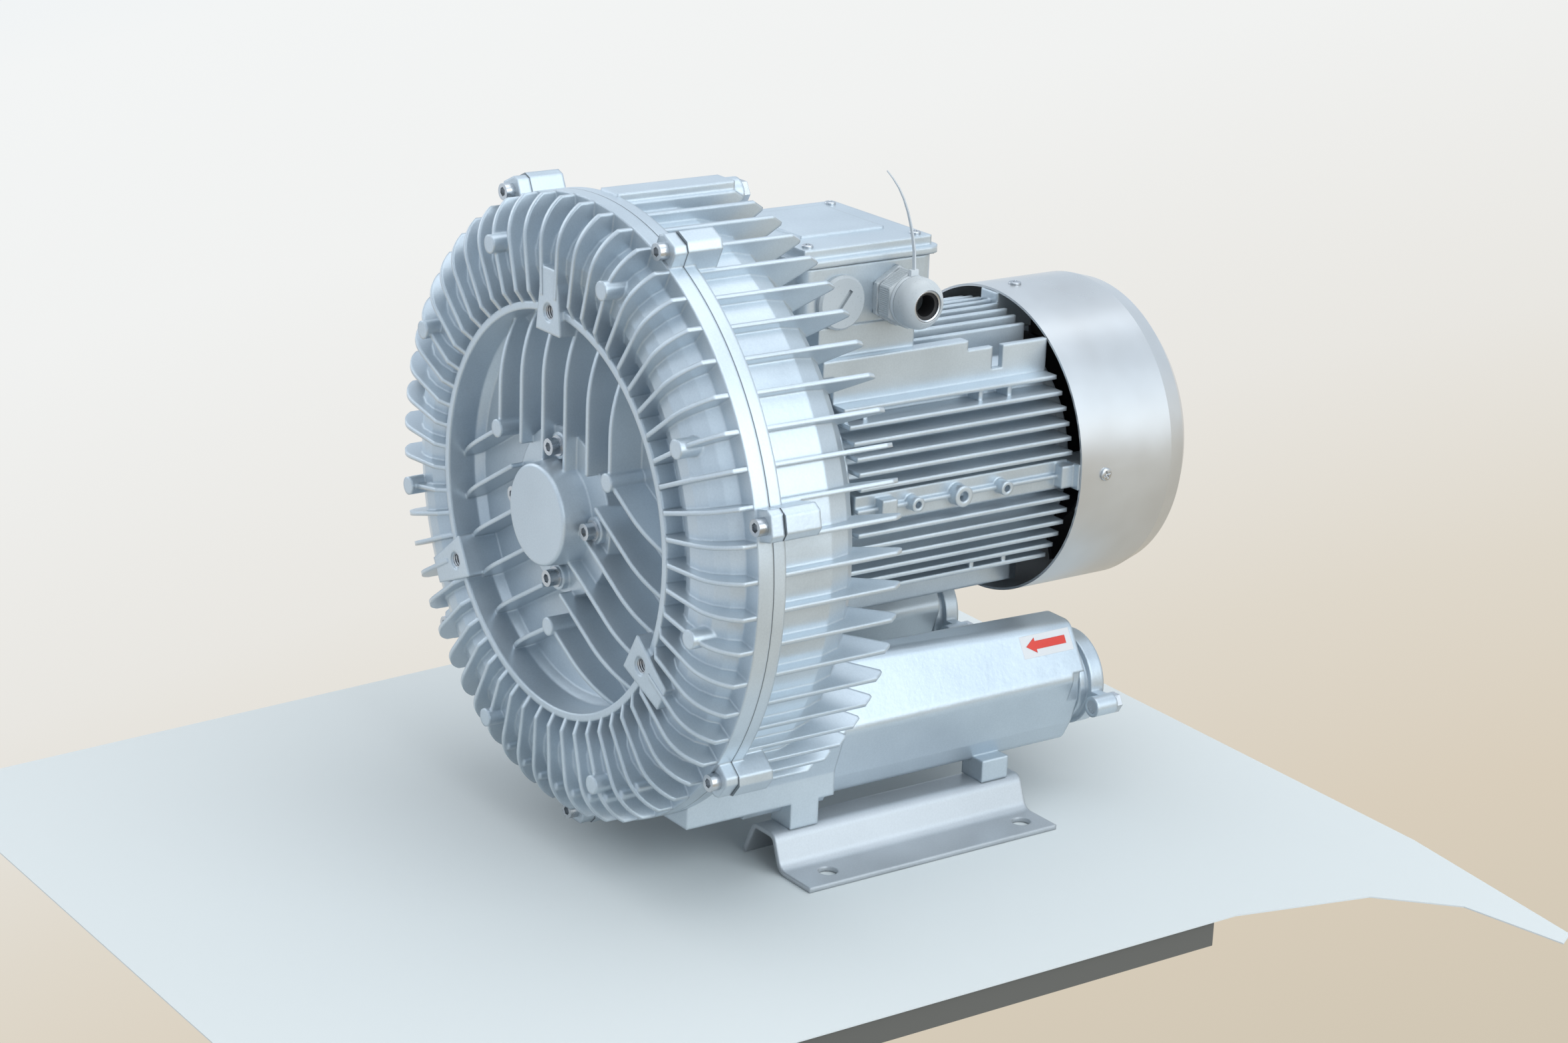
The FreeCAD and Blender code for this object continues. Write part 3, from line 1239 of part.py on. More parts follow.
def check_and_export():
    """Stop on any failed object or bad shape, then write one file for each sub-part."""
    faults = []
    for item in doc.Objects:
        if "Invalid" in item.State or "Error" in item.State:
            faults.append("%s %s" % (item.Name, item.State))
    for body in SUBPARTS:
        if body.Shape.isNull() or not body.Shape.isValid():
            faults.append("bad shape " + body.Label)
    if faults:
        raise ValueError("; ".join(faults))
    os.makedirs("parts", exist_ok=True)
    for body in SUBPARTS:
        body.Shape.exportStep(os.path.join("parts", body.Label + ".step"))


build()
check_and_export()
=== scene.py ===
import json
import math

import bmesh
import bpy
from mathutils import Matrix, Vector


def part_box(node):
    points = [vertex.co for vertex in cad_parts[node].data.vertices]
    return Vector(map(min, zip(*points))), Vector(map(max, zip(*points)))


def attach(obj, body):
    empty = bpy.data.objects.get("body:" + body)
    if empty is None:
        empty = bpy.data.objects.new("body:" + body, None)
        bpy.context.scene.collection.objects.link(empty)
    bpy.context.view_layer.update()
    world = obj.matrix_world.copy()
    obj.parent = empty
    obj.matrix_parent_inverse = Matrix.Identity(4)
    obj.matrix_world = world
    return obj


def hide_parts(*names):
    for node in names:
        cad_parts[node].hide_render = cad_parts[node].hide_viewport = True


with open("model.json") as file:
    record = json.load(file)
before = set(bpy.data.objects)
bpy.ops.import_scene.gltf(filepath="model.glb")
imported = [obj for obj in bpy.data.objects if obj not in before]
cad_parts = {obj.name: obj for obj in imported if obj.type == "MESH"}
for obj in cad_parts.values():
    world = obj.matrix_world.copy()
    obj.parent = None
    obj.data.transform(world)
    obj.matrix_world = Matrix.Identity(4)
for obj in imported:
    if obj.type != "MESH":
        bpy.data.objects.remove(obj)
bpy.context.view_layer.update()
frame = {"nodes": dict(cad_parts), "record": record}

# The motor axis' height and the casing's parting plane in the part's frame, in metres.
AXIS_Z = 0.210
PARTING_Y = -0.1657
MM = 0.001


def at(x, y, z):
    """A point given in millimetres about the motor axis and the parting plane."""
    return Vector((x * MM, y * MM + PARTING_Y, z * MM + AXIS_Z))


# Materials

# A noise seldom leaves this range.
NOISE_LOW, NOISE_HIGH = 0.3, 0.7


def srgb(red, green, blue):
    """A colour as it is read off a screen, turned into the renderer's linear values."""
    def linear(value):
        value /= 255
        return value / 12.92 if value <= 0.04045 else ((value + 0.055) / 1.055) ** 2.4
    return (linear(red), linear(green), linear(blue), 1)


def set_stops(band, stops):
    """Give a colour ramp its stops, each a place and a colour."""
    while len(band.elements) < len(stops):
        band.elements.new(0.5)
    for element, (place, colour) in zip(band.elements, stops):
        element.position = place
        element.color = colour


class Finish:
    """A node material that is built up one step at a time."""

    def __init__(self, name):
        self.material = bpy.data.materials.new(name)
        self.material.use_nodes = True
        self.tree = self.material.node_tree
        self.shader = self.tree.nodes["Principled BSDF"]
        self.place = self.tree.nodes.new("ShaderNodeTexCoord").outputs["Object"]

    def set(self, **values):
        for name, value in values.items():
            self.shader.inputs[name.replace("_", " ")].default_value = value

    def add(self, kind, **values):
        made = self.tree.nodes.new("ShaderNode" + kind)
        for name, value in values.items():
            if name in made.inputs:
                made.inputs[name].default_value = value
            else:
                setattr(made, name, value)
        return made

    def link(self, source, target):
        self.tree.links.new(source, target)

    def stretched(self, scale):
        """Object coordinates scaled by three numbers."""
        mapping = self.add("Mapping")
        mapping.inputs["Scale"].default_value = scale
        self.link(self.place, mapping.inputs["Vector"])
        return mapping.outputs["Vector"]

    def noise(self, scale, detail, rough=0.5, place=None):
        """A noise, with its scale in waves per metre."""
        made = self.add("TexNoise", Scale=scale, Detail=detail, Roughness=rough)
        self.link(place or self.place, made.inputs["Vector"])
        return made.outputs["Fac"]

    def mottled(self, source, low, high):
        """Two colours that a noise mixes."""
        made = self.add("ValToRGB")
        set_stops(made.color_ramp, [(NOISE_LOW, low), (NOISE_HIGH, high)])
        self.link(source, made.inputs["Fac"])
        return made.outputs["Color"]

    def math(self, operation, first, second):
        made = self.add("Math", operation=operation)
        for socket, value in zip(made.inputs, (first, second)):
            if isinstance(value, (int, float)):
                socket.default_value = value
            else:
                self.link(value, socket)
        return made.outputs[0]

    def colour(self, source):
        self.link(source, self.shader.inputs["Base Color"])

    def gloss(self, source, rough, down, up):
        """A roughness that a noise moves down and up."""
        made = self.add("MapRange")
        ends = {"From Min": NOISE_LOW, "From Max": NOISE_HIGH, "To Min": rough - down, "To Max": rough + up}
        for name, value in ends.items():
            made.inputs[name].default_value = value
        self.link(source, made.inputs["Value"])
        self.link(made.outputs["Result"], self.shader.inputs["Roughness"])

    def relief(self, *layers, rounding):
        """Bump layers, each a height source with its depth in metres, over softly rounded edges."""
        normal = self.add("Bevel", Radius=rounding, samples=6).outputs["Normal"]
        for source, depth in layers:
            bump = self.add("Bump", Distance=depth, Strength=1.0)
            self.link(source, bump.inputs["Height"])
            self.link(normal, bump.inputs["Normal"])
            normal = bump.outputs["Normal"]
        self.link(normal, self.shader.inputs["Normal"])


JOINT_HALF_WIDTH = 0.3 * MM
JOINT_COLOUR = srgb(118, 126, 132)


def dark_joint(finish, colour):
    """The colour with a dark line where the two halves of the casing meet."""
    parts = finish.add("SeparateXYZ")
    finish.link(finish.place, parts.inputs[0])
    off = finish.math("ABSOLUTE", finish.math("SUBTRACT", parts.outputs["Y"], PARTING_Y), 0)
    mixed = finish.add("MixRGB")
    finish.link(finish.math("LESS_THAN", off, JOINT_HALF_WIDTH), mixed.inputs["Fac"])
    finish.link(colour, mixed.inputs["Color1"])
    mixed.inputs["Color2"].default_value = JOINT_COLOUR
    return mixed.outputs["Color"]


# The paint's noises, in waves per metre, and the share of the mottling that the flake takes.
MOTTLING, ORANGE_PEEL, CAST_SKIN = 14, 330, 90
FLAKE_SHARE = 0.25


def paint(name, low, high, metallic, gloss, grain=0.00006, flakes=900, parting_line=False):
    """Sprayed silver lacquer on metal: soft mottling and flake, with orange peel where it has a grain."""
    finish = Finish(name)
    finish.set(Metallic=metallic, Coat_Weight=0.15, Coat_Roughness=0.25)
    cloud = finish.noise(MOTTLING, detail=3)
    flake = finish.noise(flakes, detail=1)
    soft = finish.math("MULTIPLY", cloud, 1 - FLAKE_SHARE)
    mixed = finish.math("ADD", soft, finish.math("MULTIPLY", flake, FLAKE_SHARE))
    colour = finish.mottled(mixed, low, high)
    finish.colour(dark_joint(finish, colour) if parting_line else colour)
    finish.gloss(cloud, gloss, down=0.05, up=0.06)
    if grain:
        peel = finish.noise(ORANGE_PEEL, detail=2)
        cast = finish.noise(CAST_SKIN, detail=3)
        finish.relief((peel, grain), (cast, grain * 2), rounding=2.2 * MM)
    return finish.material


def metal(name, low, high, gloss, scale=(1, 1, 1), streaks=200):
    """Bare metal with fine streaks or grain."""
    finish = Finish(name)
    finish.set(Metallic=1.0)
    lines = finish.noise(streaks, detail=3, rough=0.6, place=finish.stretched(scale))
    finish.colour(finish.mottled(finish.noise(scale=30, detail=2), low, high))
    finish.gloss(lines, gloss, down=0.08, up=0.1)
    finish.relief((lines, 0.02 * MM), rounding=0.3 * MM)
    return finish.material


def plastic(name, low, high, gloss, grain=0.00002, scale=500):
    """Moulded plastic with a faint spark-eroded grain."""
    finish = Finish(name)
    grainy = finish.noise(scale, detail=3)
    finish.colour(finish.mottled(finish.noise(scale=25, detail=2), low, high))
    finish.gloss(grainy, gloss, down=0.05, up=0.07)
    finish.relief((grainy, grain), rounding=0.4 * MM)
    return finish.material


# Each row holds what its maker takes after the name, in that order.
PAINTS = {
    "silver_paint": (srgb(182, 194, 203), srgb(203, 214, 222), 0.62, 0.36, 0.00006, 900, True),
    "painted_steel": (srgb(170, 176, 181), srgb(188, 194, 199), 0.6, 0.42, 0.00003),
    "cowl_paint": (srgb(190, 192, 193), srgb(204, 208, 211), 0.7, 0.3, 0, 45),
}
METALS = {
    "zinc_steel": (srgb(176, 180, 184), srgb(206, 209, 212), 0.3),
    "ground_steel": (srgb(168, 170, 172), srgb(196, 198, 200), 0.24, (1, 40, 1)),
    "bare_aluminium": (srgb(182, 184, 186), srgb(204, 206, 208), 0.42, (1, 1, 1), 350),
    "lamination_steel": (srgb(92, 94, 98), srgb(112, 114, 118), 0.5, (1, 900, 1), 1),
    "copper_winding": (srgb(128, 66, 34), srgb(160, 88, 48), 0.36, (60, 1, 60), 20),
    "brass": (srgb(178, 146, 82), srgb(204, 172, 106), 0.26),
}
PLASTICS = {
    "grey_nylon": (srgb(174, 182, 187), srgb(186, 193, 197), 0.3),
    "tie_nylon": (srgb(196, 204, 210), srgb(206, 213, 218), 0.4),
    "black_rubber": (srgb(22, 22, 23), srgb(32, 32, 34), 0.62, 0.00005, 260),
    "black_plastic": (srgb(20, 20, 21), srgb(28, 28, 30), 0.45),
    "brown_plastic": (srgb(78, 44, 26), srgb(96, 56, 34), 0.4),
    "grey_foam": (srgb(78, 80, 84), srgb(102, 104, 108), 0.9, 0.0006, 160),
    "label_paper": (srgb(208, 211, 214), srgb(214, 217, 220), 0.5),
    "arrow_red": (srgb(205, 52, 40), srgb(214, 62, 48), 0.45),
}
MATERIALS = {}
for maker, rows in ((paint, PAINTS), (metal, METALS), (plastic, PLASTICS)):
    MATERIALS.update({name: maker(name, *row) for name, row in rows.items()})

for row in frame["record"]["subparts"]:
    piece = frame["nodes"][row["node"]]
    piece.data.materials.clear()
    piece.data.materials.append(MATERIALS[row["material_slot"]])


# Pieces whose fine form stays out of the solids. Their sizes are in millimetres.

AXES = {"X": (Vector((1, 0, 0)), Vector((0, 1, 0)), Vector((0, 0, 1))),
        "Y": (Vector((0, 1, 0)), Vector((0, 0, 1)), Vector((1, 0, 0)))}
SHARP_ANGLE = math.radians(32)

# How many points go around a turned piece.
ROUND_COUNT, FINE_COUNT, THREAD_COUNT = 72, 96, 48


def mesh_piece(name, verts, faces, material, body="stator", smooth=True):
    """A piece that rides a body, from points in metres and faces."""
    mesh = bpy.data.meshes.new(name)
    mesh.from_pydata(verts, [], faces)
    made = bmesh.new()
    made.from_mesh(mesh)
    bmesh.ops.recalc_face_normals(made, faces=made.faces)
    made.to_mesh(mesh)
    made.free()
    piece = bpy.data.objects.new(name, mesh)
    bpy.context.scene.collection.objects.link(piece)
    mesh.materials.append(MATERIALS[material])
    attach(piece, body)
    if smooth:
        mesh.shade_smooth()
        mesh.set_sharp_from_angle(angle=SHARP_ANGLE)
    return piece


def turned_piece(name, centre, axis, outline, material, count=ROUND_COUNT, radius_at=None):
    """A closed outline of (place, radius) turned about an axis. radius_at gives flats, ribs or a thread."""
    along, first, second = AXES[axis]
    verts = []
    for place, radius in outline:
        for step in range(count):
            angle = 2 * math.pi * step / count
            reach = radius_at(angle, place, radius) if radius_at else radius
            side = first * math.cos(angle) + second * math.sin(angle)
            verts.append(centre + (along * place + side * reach) * MM)
    faces = []
    rows = len(outline)
    for row in range(rows):
        after = (row + 1) % rows
        for step in range(count):
            turn = (step + 1) % count
            faces.append((row * count + step, row * count + turn, after * count + turn, after * count + step))
    return mesh_piece(name, verts, faces, material)


def prism_piece(name, corners, thickness, material):
    """A flat plate from corners that are points in space, raised along its own normal."""
    normal = (corners[1] - corners[0]).cross(corners[2] - corners[0]).normalized() * thickness
    count = len(corners)
    verts = corners + [corner + normal for corner in corners]
    faces = [tuple(range(count)), tuple(range(count, 2 * count))]
    for one in range(count):
        two = (one + 1) % count
        faces.append((one, two, count + two, count + one))
    return mesh_piece(name, verts, faces, material, smooth=False)


# The cable gland starts at this x, with its axis at this y and z. Outlines give (x from there, radius).
GLAND_SIDE, GLAND_PLACE, GLAND_HEIGHT = 52, 174, 118.5
GLAND_CORNER, GLAND_FLANGE_END, GLAND_NUT_INSET = 18.5, 4.5, 0.6
GLAND_RIBS, GLAND_RIB_POINTS, GLAND_RIB_DEPTH = 84, 6, 0.35
GLAND_RIB_START, GLAND_RIB_END, GLAND_RIB_FOOT = 6, 14.5, 15.5
HEXAGON_OUTLINE = [
    (-5.5, 8), (-5.5, 12.4), (0, 12.4), (0, 17.4), (0.8, 18.5), (3.4, 18.5), (4.2, 17.2), (4.4, 15.4),
    (5.2, 15.4), (5.4, 17.2), (6, 17.9), (6.2, 18.2), (14.4, 18.2), (14.6, 17.9), (15.2, 17), (16, 15.6),
    (16, 14), (19, 14), (19, 8)]
DOME_OUTLINE = [
    (19, 9.5), (19, 15.1), (19.6, 15.5), (24, 15.5), (26.5, 15.2), (28.6, 14.4), (30.4, 13.1),
    (31.8, 11.6), (32.6, 10.4), (32.9, 9.9), (32.6, 9.6), (31.5, 9.5)]
BRIGHT_RING_OUTLINE = [(29.8, 8.2), (29.8, 9.5), (32.2, 9.5), (32.4, 9.2), (32, 8.3)]
RUBBER_OUTLINE = [(19, 6.5), (19, 9.45), (30.6, 9.45), (31, 8.4), (30.4, 6.5)]


def hexagon_radius(angle, place, radius):
    """The gland's hexagon: plain on the flange, and a little smaller and ribbed on the nut."""
    half_width = GLAND_CORNER * math.cos(math.pi / 6)
    if place >= GLAND_FLANGE_END:
        half_width -= GLAND_NUT_INSET
    sixth = math.pi / 3
    reach = min(radius, half_width / math.cos((angle + sixth / 2) % sixth - sixth / 2))
    if GLAND_RIB_START < place < GLAND_RIB_END and radius > GLAND_RIB_FOOT:
        reach -= GLAND_RIB_DEPTH * (0.5 + 0.5 * math.cos(angle * GLAND_RIBS))
    return reach


def gland():
    """The cable gland: a hexagon with ribbed flats on a thin flange, and a domed nut with a bright ring."""
    centre = at(GLAND_SIDE, GLAND_PLACE, GLAND_HEIGHT)
    count = GLAND_RIBS * GLAND_RIB_POINTS
    body = turned_piece("gland_hexagon", centre, "X", HEXAGON_OUTLINE, "grey_nylon", count, hexagon_radius)
    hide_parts("gland_body")
    dome = turned_piece("gland_dome", centre, "X", DOME_OUTLINE, "grey_nylon", FINE_COUNT)
    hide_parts("gland_dome_nut")
    turned_piece("gland_ring", centre, "X", BRIGHT_RING_OUTLINE, "zinc_steel", FINE_COUNT)
    seal = turned_piece("gland_rubber", centre, "X", RUBBER_OUTLINE, "black_rubber")
    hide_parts("gland_seal")


# The M10 threads in the cover's lug holes. They run along the motor axis from their front.
THREAD_BORE, THREAD_BACK = 4.25, 4.35
THREAD_PITCH, THREAD_DEPTH = 1.5, 0.55
THREAD_FRONT, THREAD_LENGTH, THREAD_RISE = -31.4, 12, 0.25
LUG_CIRCLE, LUG_DEGREES = 120, (90, 210, 330)


def thread_radius(angle, place, radius):
    """The bore of a right handed thread, inside a plain back."""
    if radius > THREAD_BORE:
        return radius
    phase = (place / THREAD_PITCH + angle / (2 * math.pi)) % 1
    return radius - THREAD_DEPTH * (1 - abs(2 * phase - 1))


def eye_threads():
    """Threads that show in the three lug holes of the cover."""
    steps = int(THREAD_LENGTH / THREAD_RISE)
    rows = [(THREAD_FRONT + THREAD_RISE * step, THREAD_BORE) for step in range(steps)]
    outline = rows + [(rows[-1][0], THREAD_BACK), (THREAD_FRONT, THREAD_BACK)]
    for number, degrees in enumerate(LUG_DEGREES, start=1):
        turn = math.radians(degrees)
        centre = at(LUG_CIRCLE * math.cos(turn), 0, LUG_CIRCLE * math.sin(turn))
        name = "lug_thread_%d" % number
        turned_piece(name, centre, "Y", outline, "bare_aluminium", THREAD_COUNT, thread_radius)


# A pan head as shares of its height and radius: its rim and crown, and how wide, long and deep its cross
# recess is, with the height of its middle.
HEAD_RIM, HEAD_CROWN = 0.55, 0.45
RECESS_WIDTH, RECESS_REACH, RECESS_DEPTH, RECESS_MIDDLE = 0.14, 0.62, 0.55, 0.35
HEAD_RINGS = 15


def pan_head(centre, along, first, radius, height, shank):
    """Points and faces of one screw: a head with a cross recess, on a shank with a radius and a length."""
    second = along.cross(first)
    rings, count = HEAD_RINGS, FINE_COUNT
    verts, faces = [], []

    def place(ring, step):
        angle = 2 * math.pi * step / count
        reach = radius * ring / rings
        across, over = reach * math.cos(angle), reach * math.sin(angle)
        crown = height * (HEAD_RIM + HEAD_CROWN * math.sqrt(max(0, 1 - (reach / radius) ** 2)))
        narrow, wide = sorted((abs(across), abs(over)))
        if narrow < RECESS_WIDTH * radius and wide < RECESS_REACH * radius:
            crown -= height * RECESS_DEPTH * (1 - wide / radius)
        return centre + (first * across + second * over + along * crown) * MM

    verts.append(centre + along * height * RECESS_MIDDLE * MM)
    for ring in range(1, rings + 1):
        verts += [place(ring, step) for step in range(count)]
    for reach, rise in ((radius, 0), (shank[0], 0), (shank[0], -shank[1])):
        for step in range(count):
            angle = 2 * math.pi * step / count
            side = first * math.cos(angle) + second * math.sin(angle)
            verts.append(centre + (side * reach + along * rise) * MM)
    for step in range(count):
        turn = (step + 1) % count
        faces.append((0, 1 + step, 1 + turn))
        for ring in range(rings + 2):
            low = 1 + ring * count
            faces.append((low + step, low + turn, low + count + turn, low + count + step))
    faces.append(tuple(range(len(verts) - count, len(verts))))
    return verts, faces


def joined_heads(name, places, radius, height, shank, node):
    """Equal screws as one piece. Each place is its seat, the way it points and one direction across it."""
    all_verts, all_faces = [], []
    for centre, along, first in places:
        verts, faces = pan_head(centre, along, first, radius, height, shank)
        start = len(all_verts)
        all_verts += verts
        all_faces += [tuple(start + index for index in face) for face in faces]
    piece = mesh_piece(name, all_verts, all_faces, "zinc_steel")
    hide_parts(node)


# The cowl's seats lie at this radius about the motor axis and at this place along it.
COWL_SEAT_RADIUS, COWL_SEAT_PLACE = 97.6, 308
COWL_HEAD_RADIUS, LID_HEAD_RADIUS, HEAD_HEIGHT = 4, 3.5, 2
COWL_SHANK, LID_SHANK_RADIUS = (2, 10), 1.7

# Every recess points its own way: the cowl's lean from one to the next, the lid's turn with their place.
FIRST_LEAN, LEAN_STEP = 0.4, 0.5
TURN_PER_METRE = 300


def screws():
    """Cross recess screws of the fan cowl and of the lid."""
    cowl = []
    for quarter in range(4):
        turn = math.radians(90 * quarter)
        outward = Vector((math.cos(turn), 0, math.sin(turn)))
        across = Vector((0, 1, 0)) + outward.cross(Vector((0, 1, 0))) * (FIRST_LEAN + LEAN_STEP * quarter)
        seat = outward * COWL_SEAT_RADIUS + Vector((0, COWL_SEAT_PLACE, 0))
        cowl.append((at(*seat), outward, across.normalized()))
    joined_heads("cowl_pan_screws", cowl, COWL_HEAD_RADIUS, HEAD_HEIGHT, COWL_SHANK, "cowl_screws")
    low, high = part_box("lid_screws")
    lid = []
    for x in (low[0] + LID_HEAD_RADIUS * MM, high[0] - LID_HEAD_RADIUS * MM):
        for y in (low[1] + LID_HEAD_RADIUS * MM, high[1] - LID_HEAD_RADIUS * MM):
            turn = TURN_PER_METRE * (x + 2 * y)
            seat = Vector((x, y, high[2] - HEAD_HEIGHT * MM))
            lid.append((seat, Vector((0, 0, 1)), Vector((math.cos(turn), math.sin(turn), 0))))
    depth = (high[2] - low[2]) / MM - HEAD_HEIGHT
    shank = (LID_SHANK_RADIUS, depth)
    joined_heads("lid_pan_screws", lid, LID_HEAD_RADIUS, HEAD_HEIGHT, shank, "lid_screws")


# What lies on the right silencer's sloping face, as (y, place down the slope) and heights over the face.
# The arrow's places down the slope are about its middle line.
SLOPE_START, SLOPE_RUN = Vector((82, 0, -90)), Vector((23, 0, -38))
LABEL = [(255, 11.8), (294, 11.8), (294, 26), (255, 26)]
LABEL_HEIGHT, LABEL_THICKNESS = 0.02, 0.12
ARROW = [(258.5, 0), (266, -4.9), (266, -2.6), (289.5, -2.6), (289.5, 2.6), (266, 2.6), (266, 4.9)]
ARROW_MIDDLE, ARROW_HEIGHT, ARROW_THICKNESS = 18.6, 0.16, 0.06


def flow_arrow():
    """A plain red arrow on a pale label, on the sloping face of the right silencer."""
    down = SLOPE_RUN.normalized()
    lift = Vector((-down.z, 0, down.x))

    def spot(y, slope, height):
        point = SLOPE_START + down * slope + lift * height
        return at(point.x, y, point.z)

    label = [spot(y, slope, LABEL_HEIGHT) for y, slope in LABEL]
    prism_piece("arrow_label", label, LABEL_THICKNESS * MM, "label_paper")
    arrow = [spot(y, ARROW_MIDDLE + across, ARROW_HEIGHT) for y, across in ARROW]
    prism_piece("red_arrow", arrow, ARROW_THICKNESS * MM, "arrow_red")


# The cable tie starts at this x in the gland's neck. Its tail follows (y, rise over the neck), and its
# head's corners are about the gland's axis and over the neck.
TIE_SIDE, TIE_TOP, TIE_WIDTH = GLAND_SIDE + 16.2, GLAND_HEIGHT + 14, 2.6
TIE_INNER, TIE_OUTER = 14.05, 15.3
TAIL_HALF_THICKNESS, TAIL_THINNING, TAIL_NARROWING = 0.55, 0.045, 0.1
TAIL = [(174.2, 0), (174.1, 8), (173.6, 16), (172.2, 24), (170.2, 32), (167.6, 40), (164.2, 48),
        (160.2, 55), (155.6, 61), (151.2, 65.8)]
TIE_HEAD, TIE_HEAD_RISE = [(-2.8, 0), (2.8, 0), (2.8, 4.6), (-2.8, 4.6)], 0.3


def tie_tail():
    """The tie's tail, which thins and narrows as it curves up and to the front."""
    verts, faces = [], []
    last = len(TAIL) - 1
    for index, (y, rise) in enumerate(TAIL):
        before, after = TAIL[max(index - 1, 0)], TAIL[min(index + 1, last)]
        run = Vector((0, after[0] - before[0], after[1] - before[1])).normalized()
        normal = Vector((0, -run.z, run.y)) * TAIL_HALF_THICKNESS * (1 - TAIL_THINNING * index)
        inset = TAIL_NARROWING * index
        for side, x in ((-1, inset), (-1, TIE_WIDTH - inset), (1, TIE_WIDTH - inset), (1, inset)):
            verts.append(at(TIE_SIDE + x, y + normal.y * side, TIE_TOP + rise + normal.z * side))
    for index in range(last):
        low = index * 4
        for one in range(4):
            two = (one + 1) % 4
            faces.append((low + one, low + two, low + 4 + two, low + 4 + one))
    faces += [(0, 1, 2, 3), tuple(range(4 * last, 4 * last + 4))]
    mesh_piece("tie_tail", verts, faces, "tie_nylon")


def cable_tie():
    """The tie's loop in the gland's neck, its tail and its square head."""
    outline = [(0, TIE_INNER), (0, TIE_OUTER), (TIE_WIDTH, TIE_OUTER), (TIE_WIDTH, TIE_INNER)]
    loop = turned_piece("tie_loop", at(TIE_SIDE, GLAND_PLACE, GLAND_HEIGHT), "X", outline, "tie_nylon")
    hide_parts("cable_tie")
    tie_tail()
    head = [at(TIE_SIDE, GLAND_PLACE + y, TIE_TOP + TIE_HEAD_RISE + z) for y, z in TIE_HEAD]
    prism_piece("tie_head", head, TIE_WIDTH * MM, "tie_nylon")


gland()
eye_threads()
screws()
flow_arrow()
cable_tie()


# Stage: a sheet over a table top, before a plain backdrop

def plain(name, colour, rough):
    finish = Finish(name)
    finish.set(Base_Color=colour, Roughness=rough)
    return finish.material


def flat_shape(name, corners, height, thickness, material):
    """A level plate of the stage, from corners in metres and the height of its top."""
    mesh = bpy.data.meshes.new(name)
    made = bmesh.new()
    top = [made.verts.new((x, y, height)) for x, y in corners]
    low = [made.verts.new((x, y, height - thickness)) for x, y in corners]
    made.faces.new(top)
    made.faces.new(list(reversed(low)))
    for one in range(len(corners)):
        two = (one + 1) % len(corners)
        made.faces.new((top[two], top[one], low[one], low[two]))
    bmesh.ops.recalc_face_normals(made, faces=made.faces)
    made.to_mesh(mesh)
    made.free()
    shape = bpy.data.objects.new(name, mesh)
    bpy.context.scene.collection.objects.link(shape)
    mesh.materials.append(material)


# The sheet of paper lies on a board and runs over its edge at one corner. Places are in metres.
SHEET = [(-0.27, -0.475), (0.285, -0.475), (0.286, 0.10), (0.307, 0.187), (0.346, 0.226), (0.412, 0.239),
         (0.405, 0.252), (0.26, 0.271), (-0.32, 0.285)]
BOARD = [(-0.262, -0.300), (0.2835, -0.300), (0.2835, 0.086), (-0.262, 0.086)]
SHEET_TOP, SHEET_THICKNESS = -0.0002, 0.0008
BOARD_TOP, BOARD_THICKNESS = -0.0012, 0.016
SHEET_PAPER = plain("sheet_paper", srgb(209, 216, 218), rough=0.75)
BOARD_EDGE = plain("board_edge", srgb(92, 93, 90), rough=0.6)
flat_shape("table_sheet", SHEET, SHEET_TOP, SHEET_THICKNESS, SHEET_PAPER)
flat_shape("table_board", BOARD, BOARD_TOP, BOARD_THICKNESS, BOARD_EDGE)

# The backdrop's shade follows how far a direction points along this slope, between these two values.
BACKDROP_SLOPE = (-0.174, -0.243, 1)
BACKDROP_LOW, BACKDROP_HIGH = -0.55, 1.0
BACKDROP_STOPS = [
    (0.019, srgb(207, 197, 178)), (0.077, srgb(217, 206, 188)), (0.116, srgb(223, 216, 203)),
    (0.161, srgb(233, 231, 226)), (0.226, srgb(241, 242, 241)), (0.277, srgb(243, 245, 245)),
    (0.42, srgb(222, 236, 250)), (0.75, srgb(228, 241, 255))]
FILL_COLOUR, FILL_STRENGTH = (0.95, 0.975, 1.0, 1), 0.7


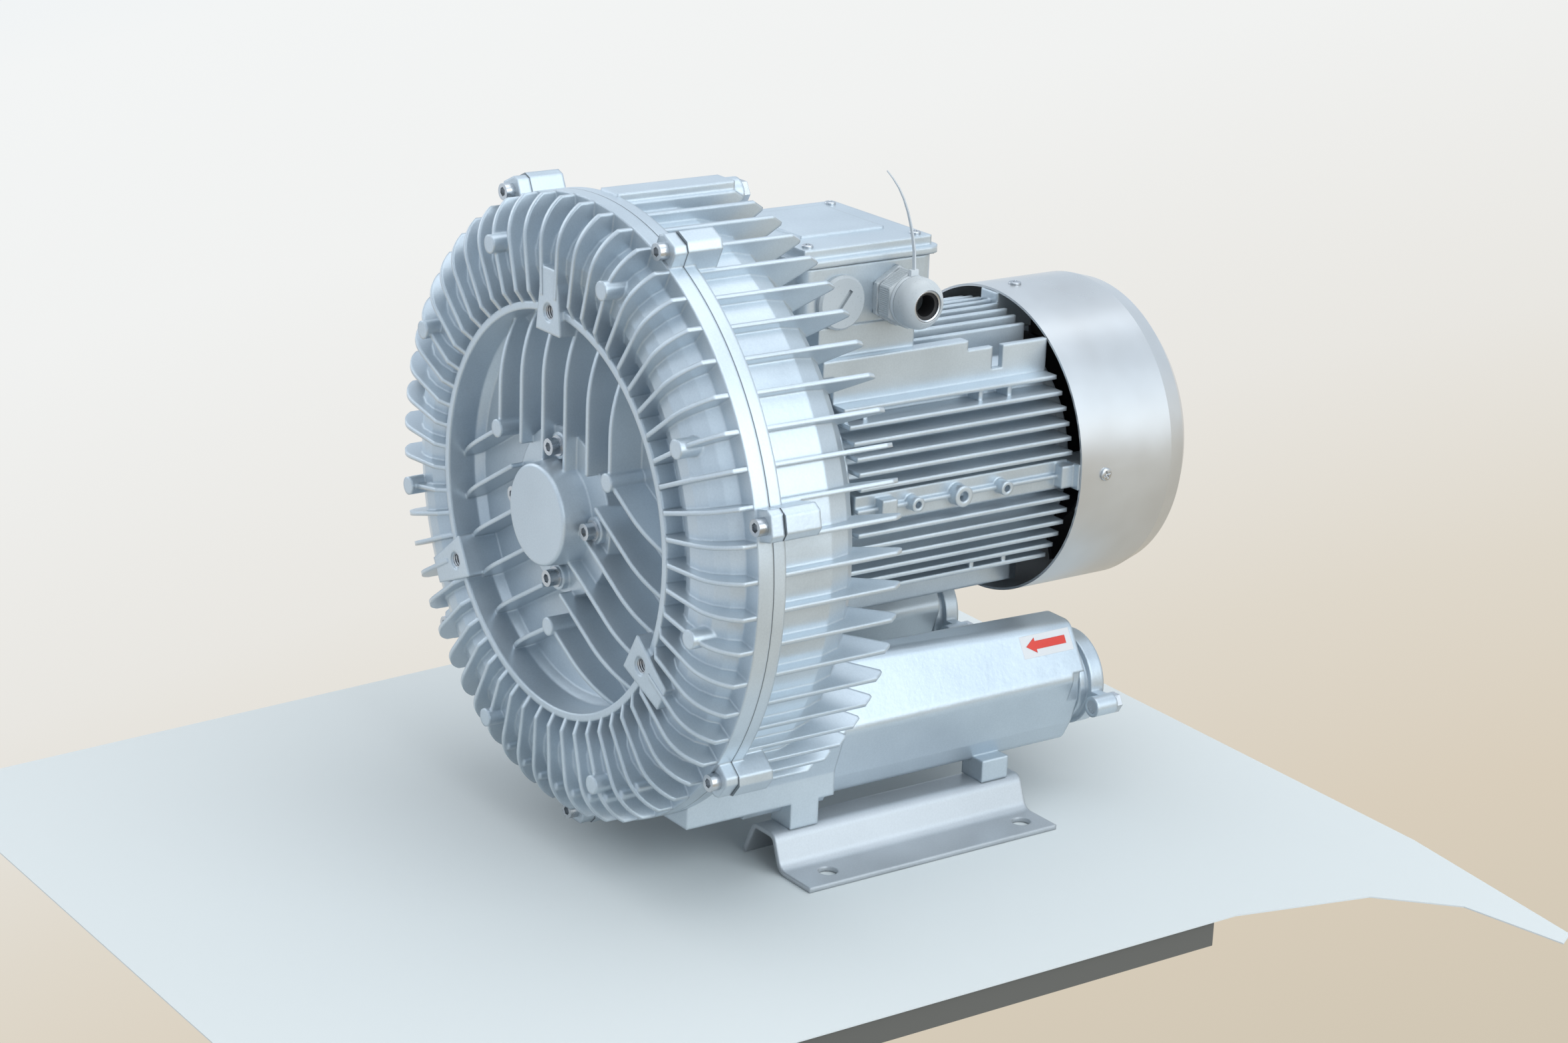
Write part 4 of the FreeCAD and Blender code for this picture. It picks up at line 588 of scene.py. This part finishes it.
def studio_world():
    """A backdrop that the camera and reflections see, darker and warmer downwards, and an even cool fill."""
    world = bpy.data.worlds.new("studio")
    bpy.context.scene.world = world
    world.use_nodes = True
    tree = world.node_tree
    for old in list(tree.nodes):
        tree.nodes.remove(old)

    def node(kind):
        return tree.nodes.new("ShaderNode" + kind)

    slope = node("VectorMath")
    slope.operation = "DOT_PRODUCT"
    slope.inputs[1].default_value = BACKDROP_SLOPE
    tree.links.new(node("TexCoord").outputs["Generated"], slope.inputs[0])
    height = node("MapRange")
    height.inputs["From Min"].default_value = BACKDROP_LOW
    height.inputs["From Max"].default_value = BACKDROP_HIGH
    tree.links.new(slope.outputs["Value"], height.inputs["Value"])
    shade = node("ValToRGB")
    set_stops(shade.color_ramp, BACKDROP_STOPS)
    tree.links.new(height.outputs["Result"], shade.inputs["Fac"])
    seen = node("Background")
    tree.links.new(shade.outputs["Color"], seen.inputs["Color"])
    fill = node("Background")
    fill.inputs["Color"].default_value = FILL_COLOUR
    fill.inputs["Strength"].default_value = FILL_STRENGTH
    rays = node("LightPath")
    shown = rays.outputs["Is Camera Ray"]
    for kind in ("Is Glossy Ray", "Is Transmission Ray"):
        either = node("Math")
        either.operation = "MAXIMUM"
        tree.links.new(shown, either.inputs[0])
        tree.links.new(rays.outputs[kind], either.inputs[1])
        shown = either.outputs[0]
    mixed = node("MixShader")
    tree.links.new(shown, mixed.inputs[0])
    tree.links.new(fill.outputs[0], mixed.inputs[1])
    tree.links.new(seen.outputs[0], mixed.inputs[2])
    tree.links.new(mixed.outputs[0], node("OutputWorld").inputs["Surface"])


studio_world()

# Each lamp has a place, a size in metres, a power in watts and a colour, and faces the blower's middle.
LAMPS = {
    "side_light": ((2.3, 0.5, 1.25), (2.4, 2.0), 35, (0.90, 0.965, 1.0)),
    "top_light": ((0.2, 0.3, 2.4), (2.4, 2.2), 21, (0.97, 0.985, 1.0)),
    "left_light": ((-2.3, -0.9, 1.3), (2.2, 1.8), 15, (0.95, 0.975, 1.0)),
    "front_light": ((-0.5, -2.2, 1.5), (1.4, 1.4), 3, (1.0, 0.985, 0.97)),
}
LAMP_TARGET = Vector((0, 0, 0.2))

for name, (place, size, power, colour) in LAMPS.items():
    data = bpy.data.lights.new(name, "AREA")
    data.shape = "RECTANGLE"
    data.size, data.size_y = size
    data.energy = power
    data.color = colour
    lamp = bpy.data.objects.new(name, data)
    bpy.context.scene.collection.objects.link(lamp)
    lamp.location = place
    lamp.rotation_euler = (LAMP_TARGET - Vector(place)).to_track_quat("-Z", "Y").to_euler()

# Camera at the photograph's place
TURN = math.radians(54.36)
TILT = math.radians(18.18)
ROLL = math.radians(2.18)
CAMERA_PLACE = at(1581, -996, 607)
LENS, SENSOR_WIDTH = 77.18, 36
back = Vector((math.sin(TURN) * math.cos(TILT), -math.cos(TURN) * math.cos(TILT), math.sin(TILT)))
level = Vector((math.cos(TURN), math.sin(TURN), 0))
upward = back.cross(level)
right = level * math.cos(ROLL) + upward * math.sin(ROLL)
top = upward * math.cos(ROLL) - level * math.sin(ROLL)
camera_data = bpy.data.cameras.new("photo_camera")
camera_data.sensor_width = SENSOR_WIDTH
camera_data.lens = LENS
camera = bpy.data.objects.new("photo_camera", camera_data)
bpy.context.scene.collection.objects.link(camera)
turned = Matrix((right, top, back)).transposed().to_4x4()
turned.translation = CAMERA_PLACE
camera.matrix_world = turned
bpy.context.scene.camera = camera
bpy.context.scene.view_settings.view_transform = "Standard"
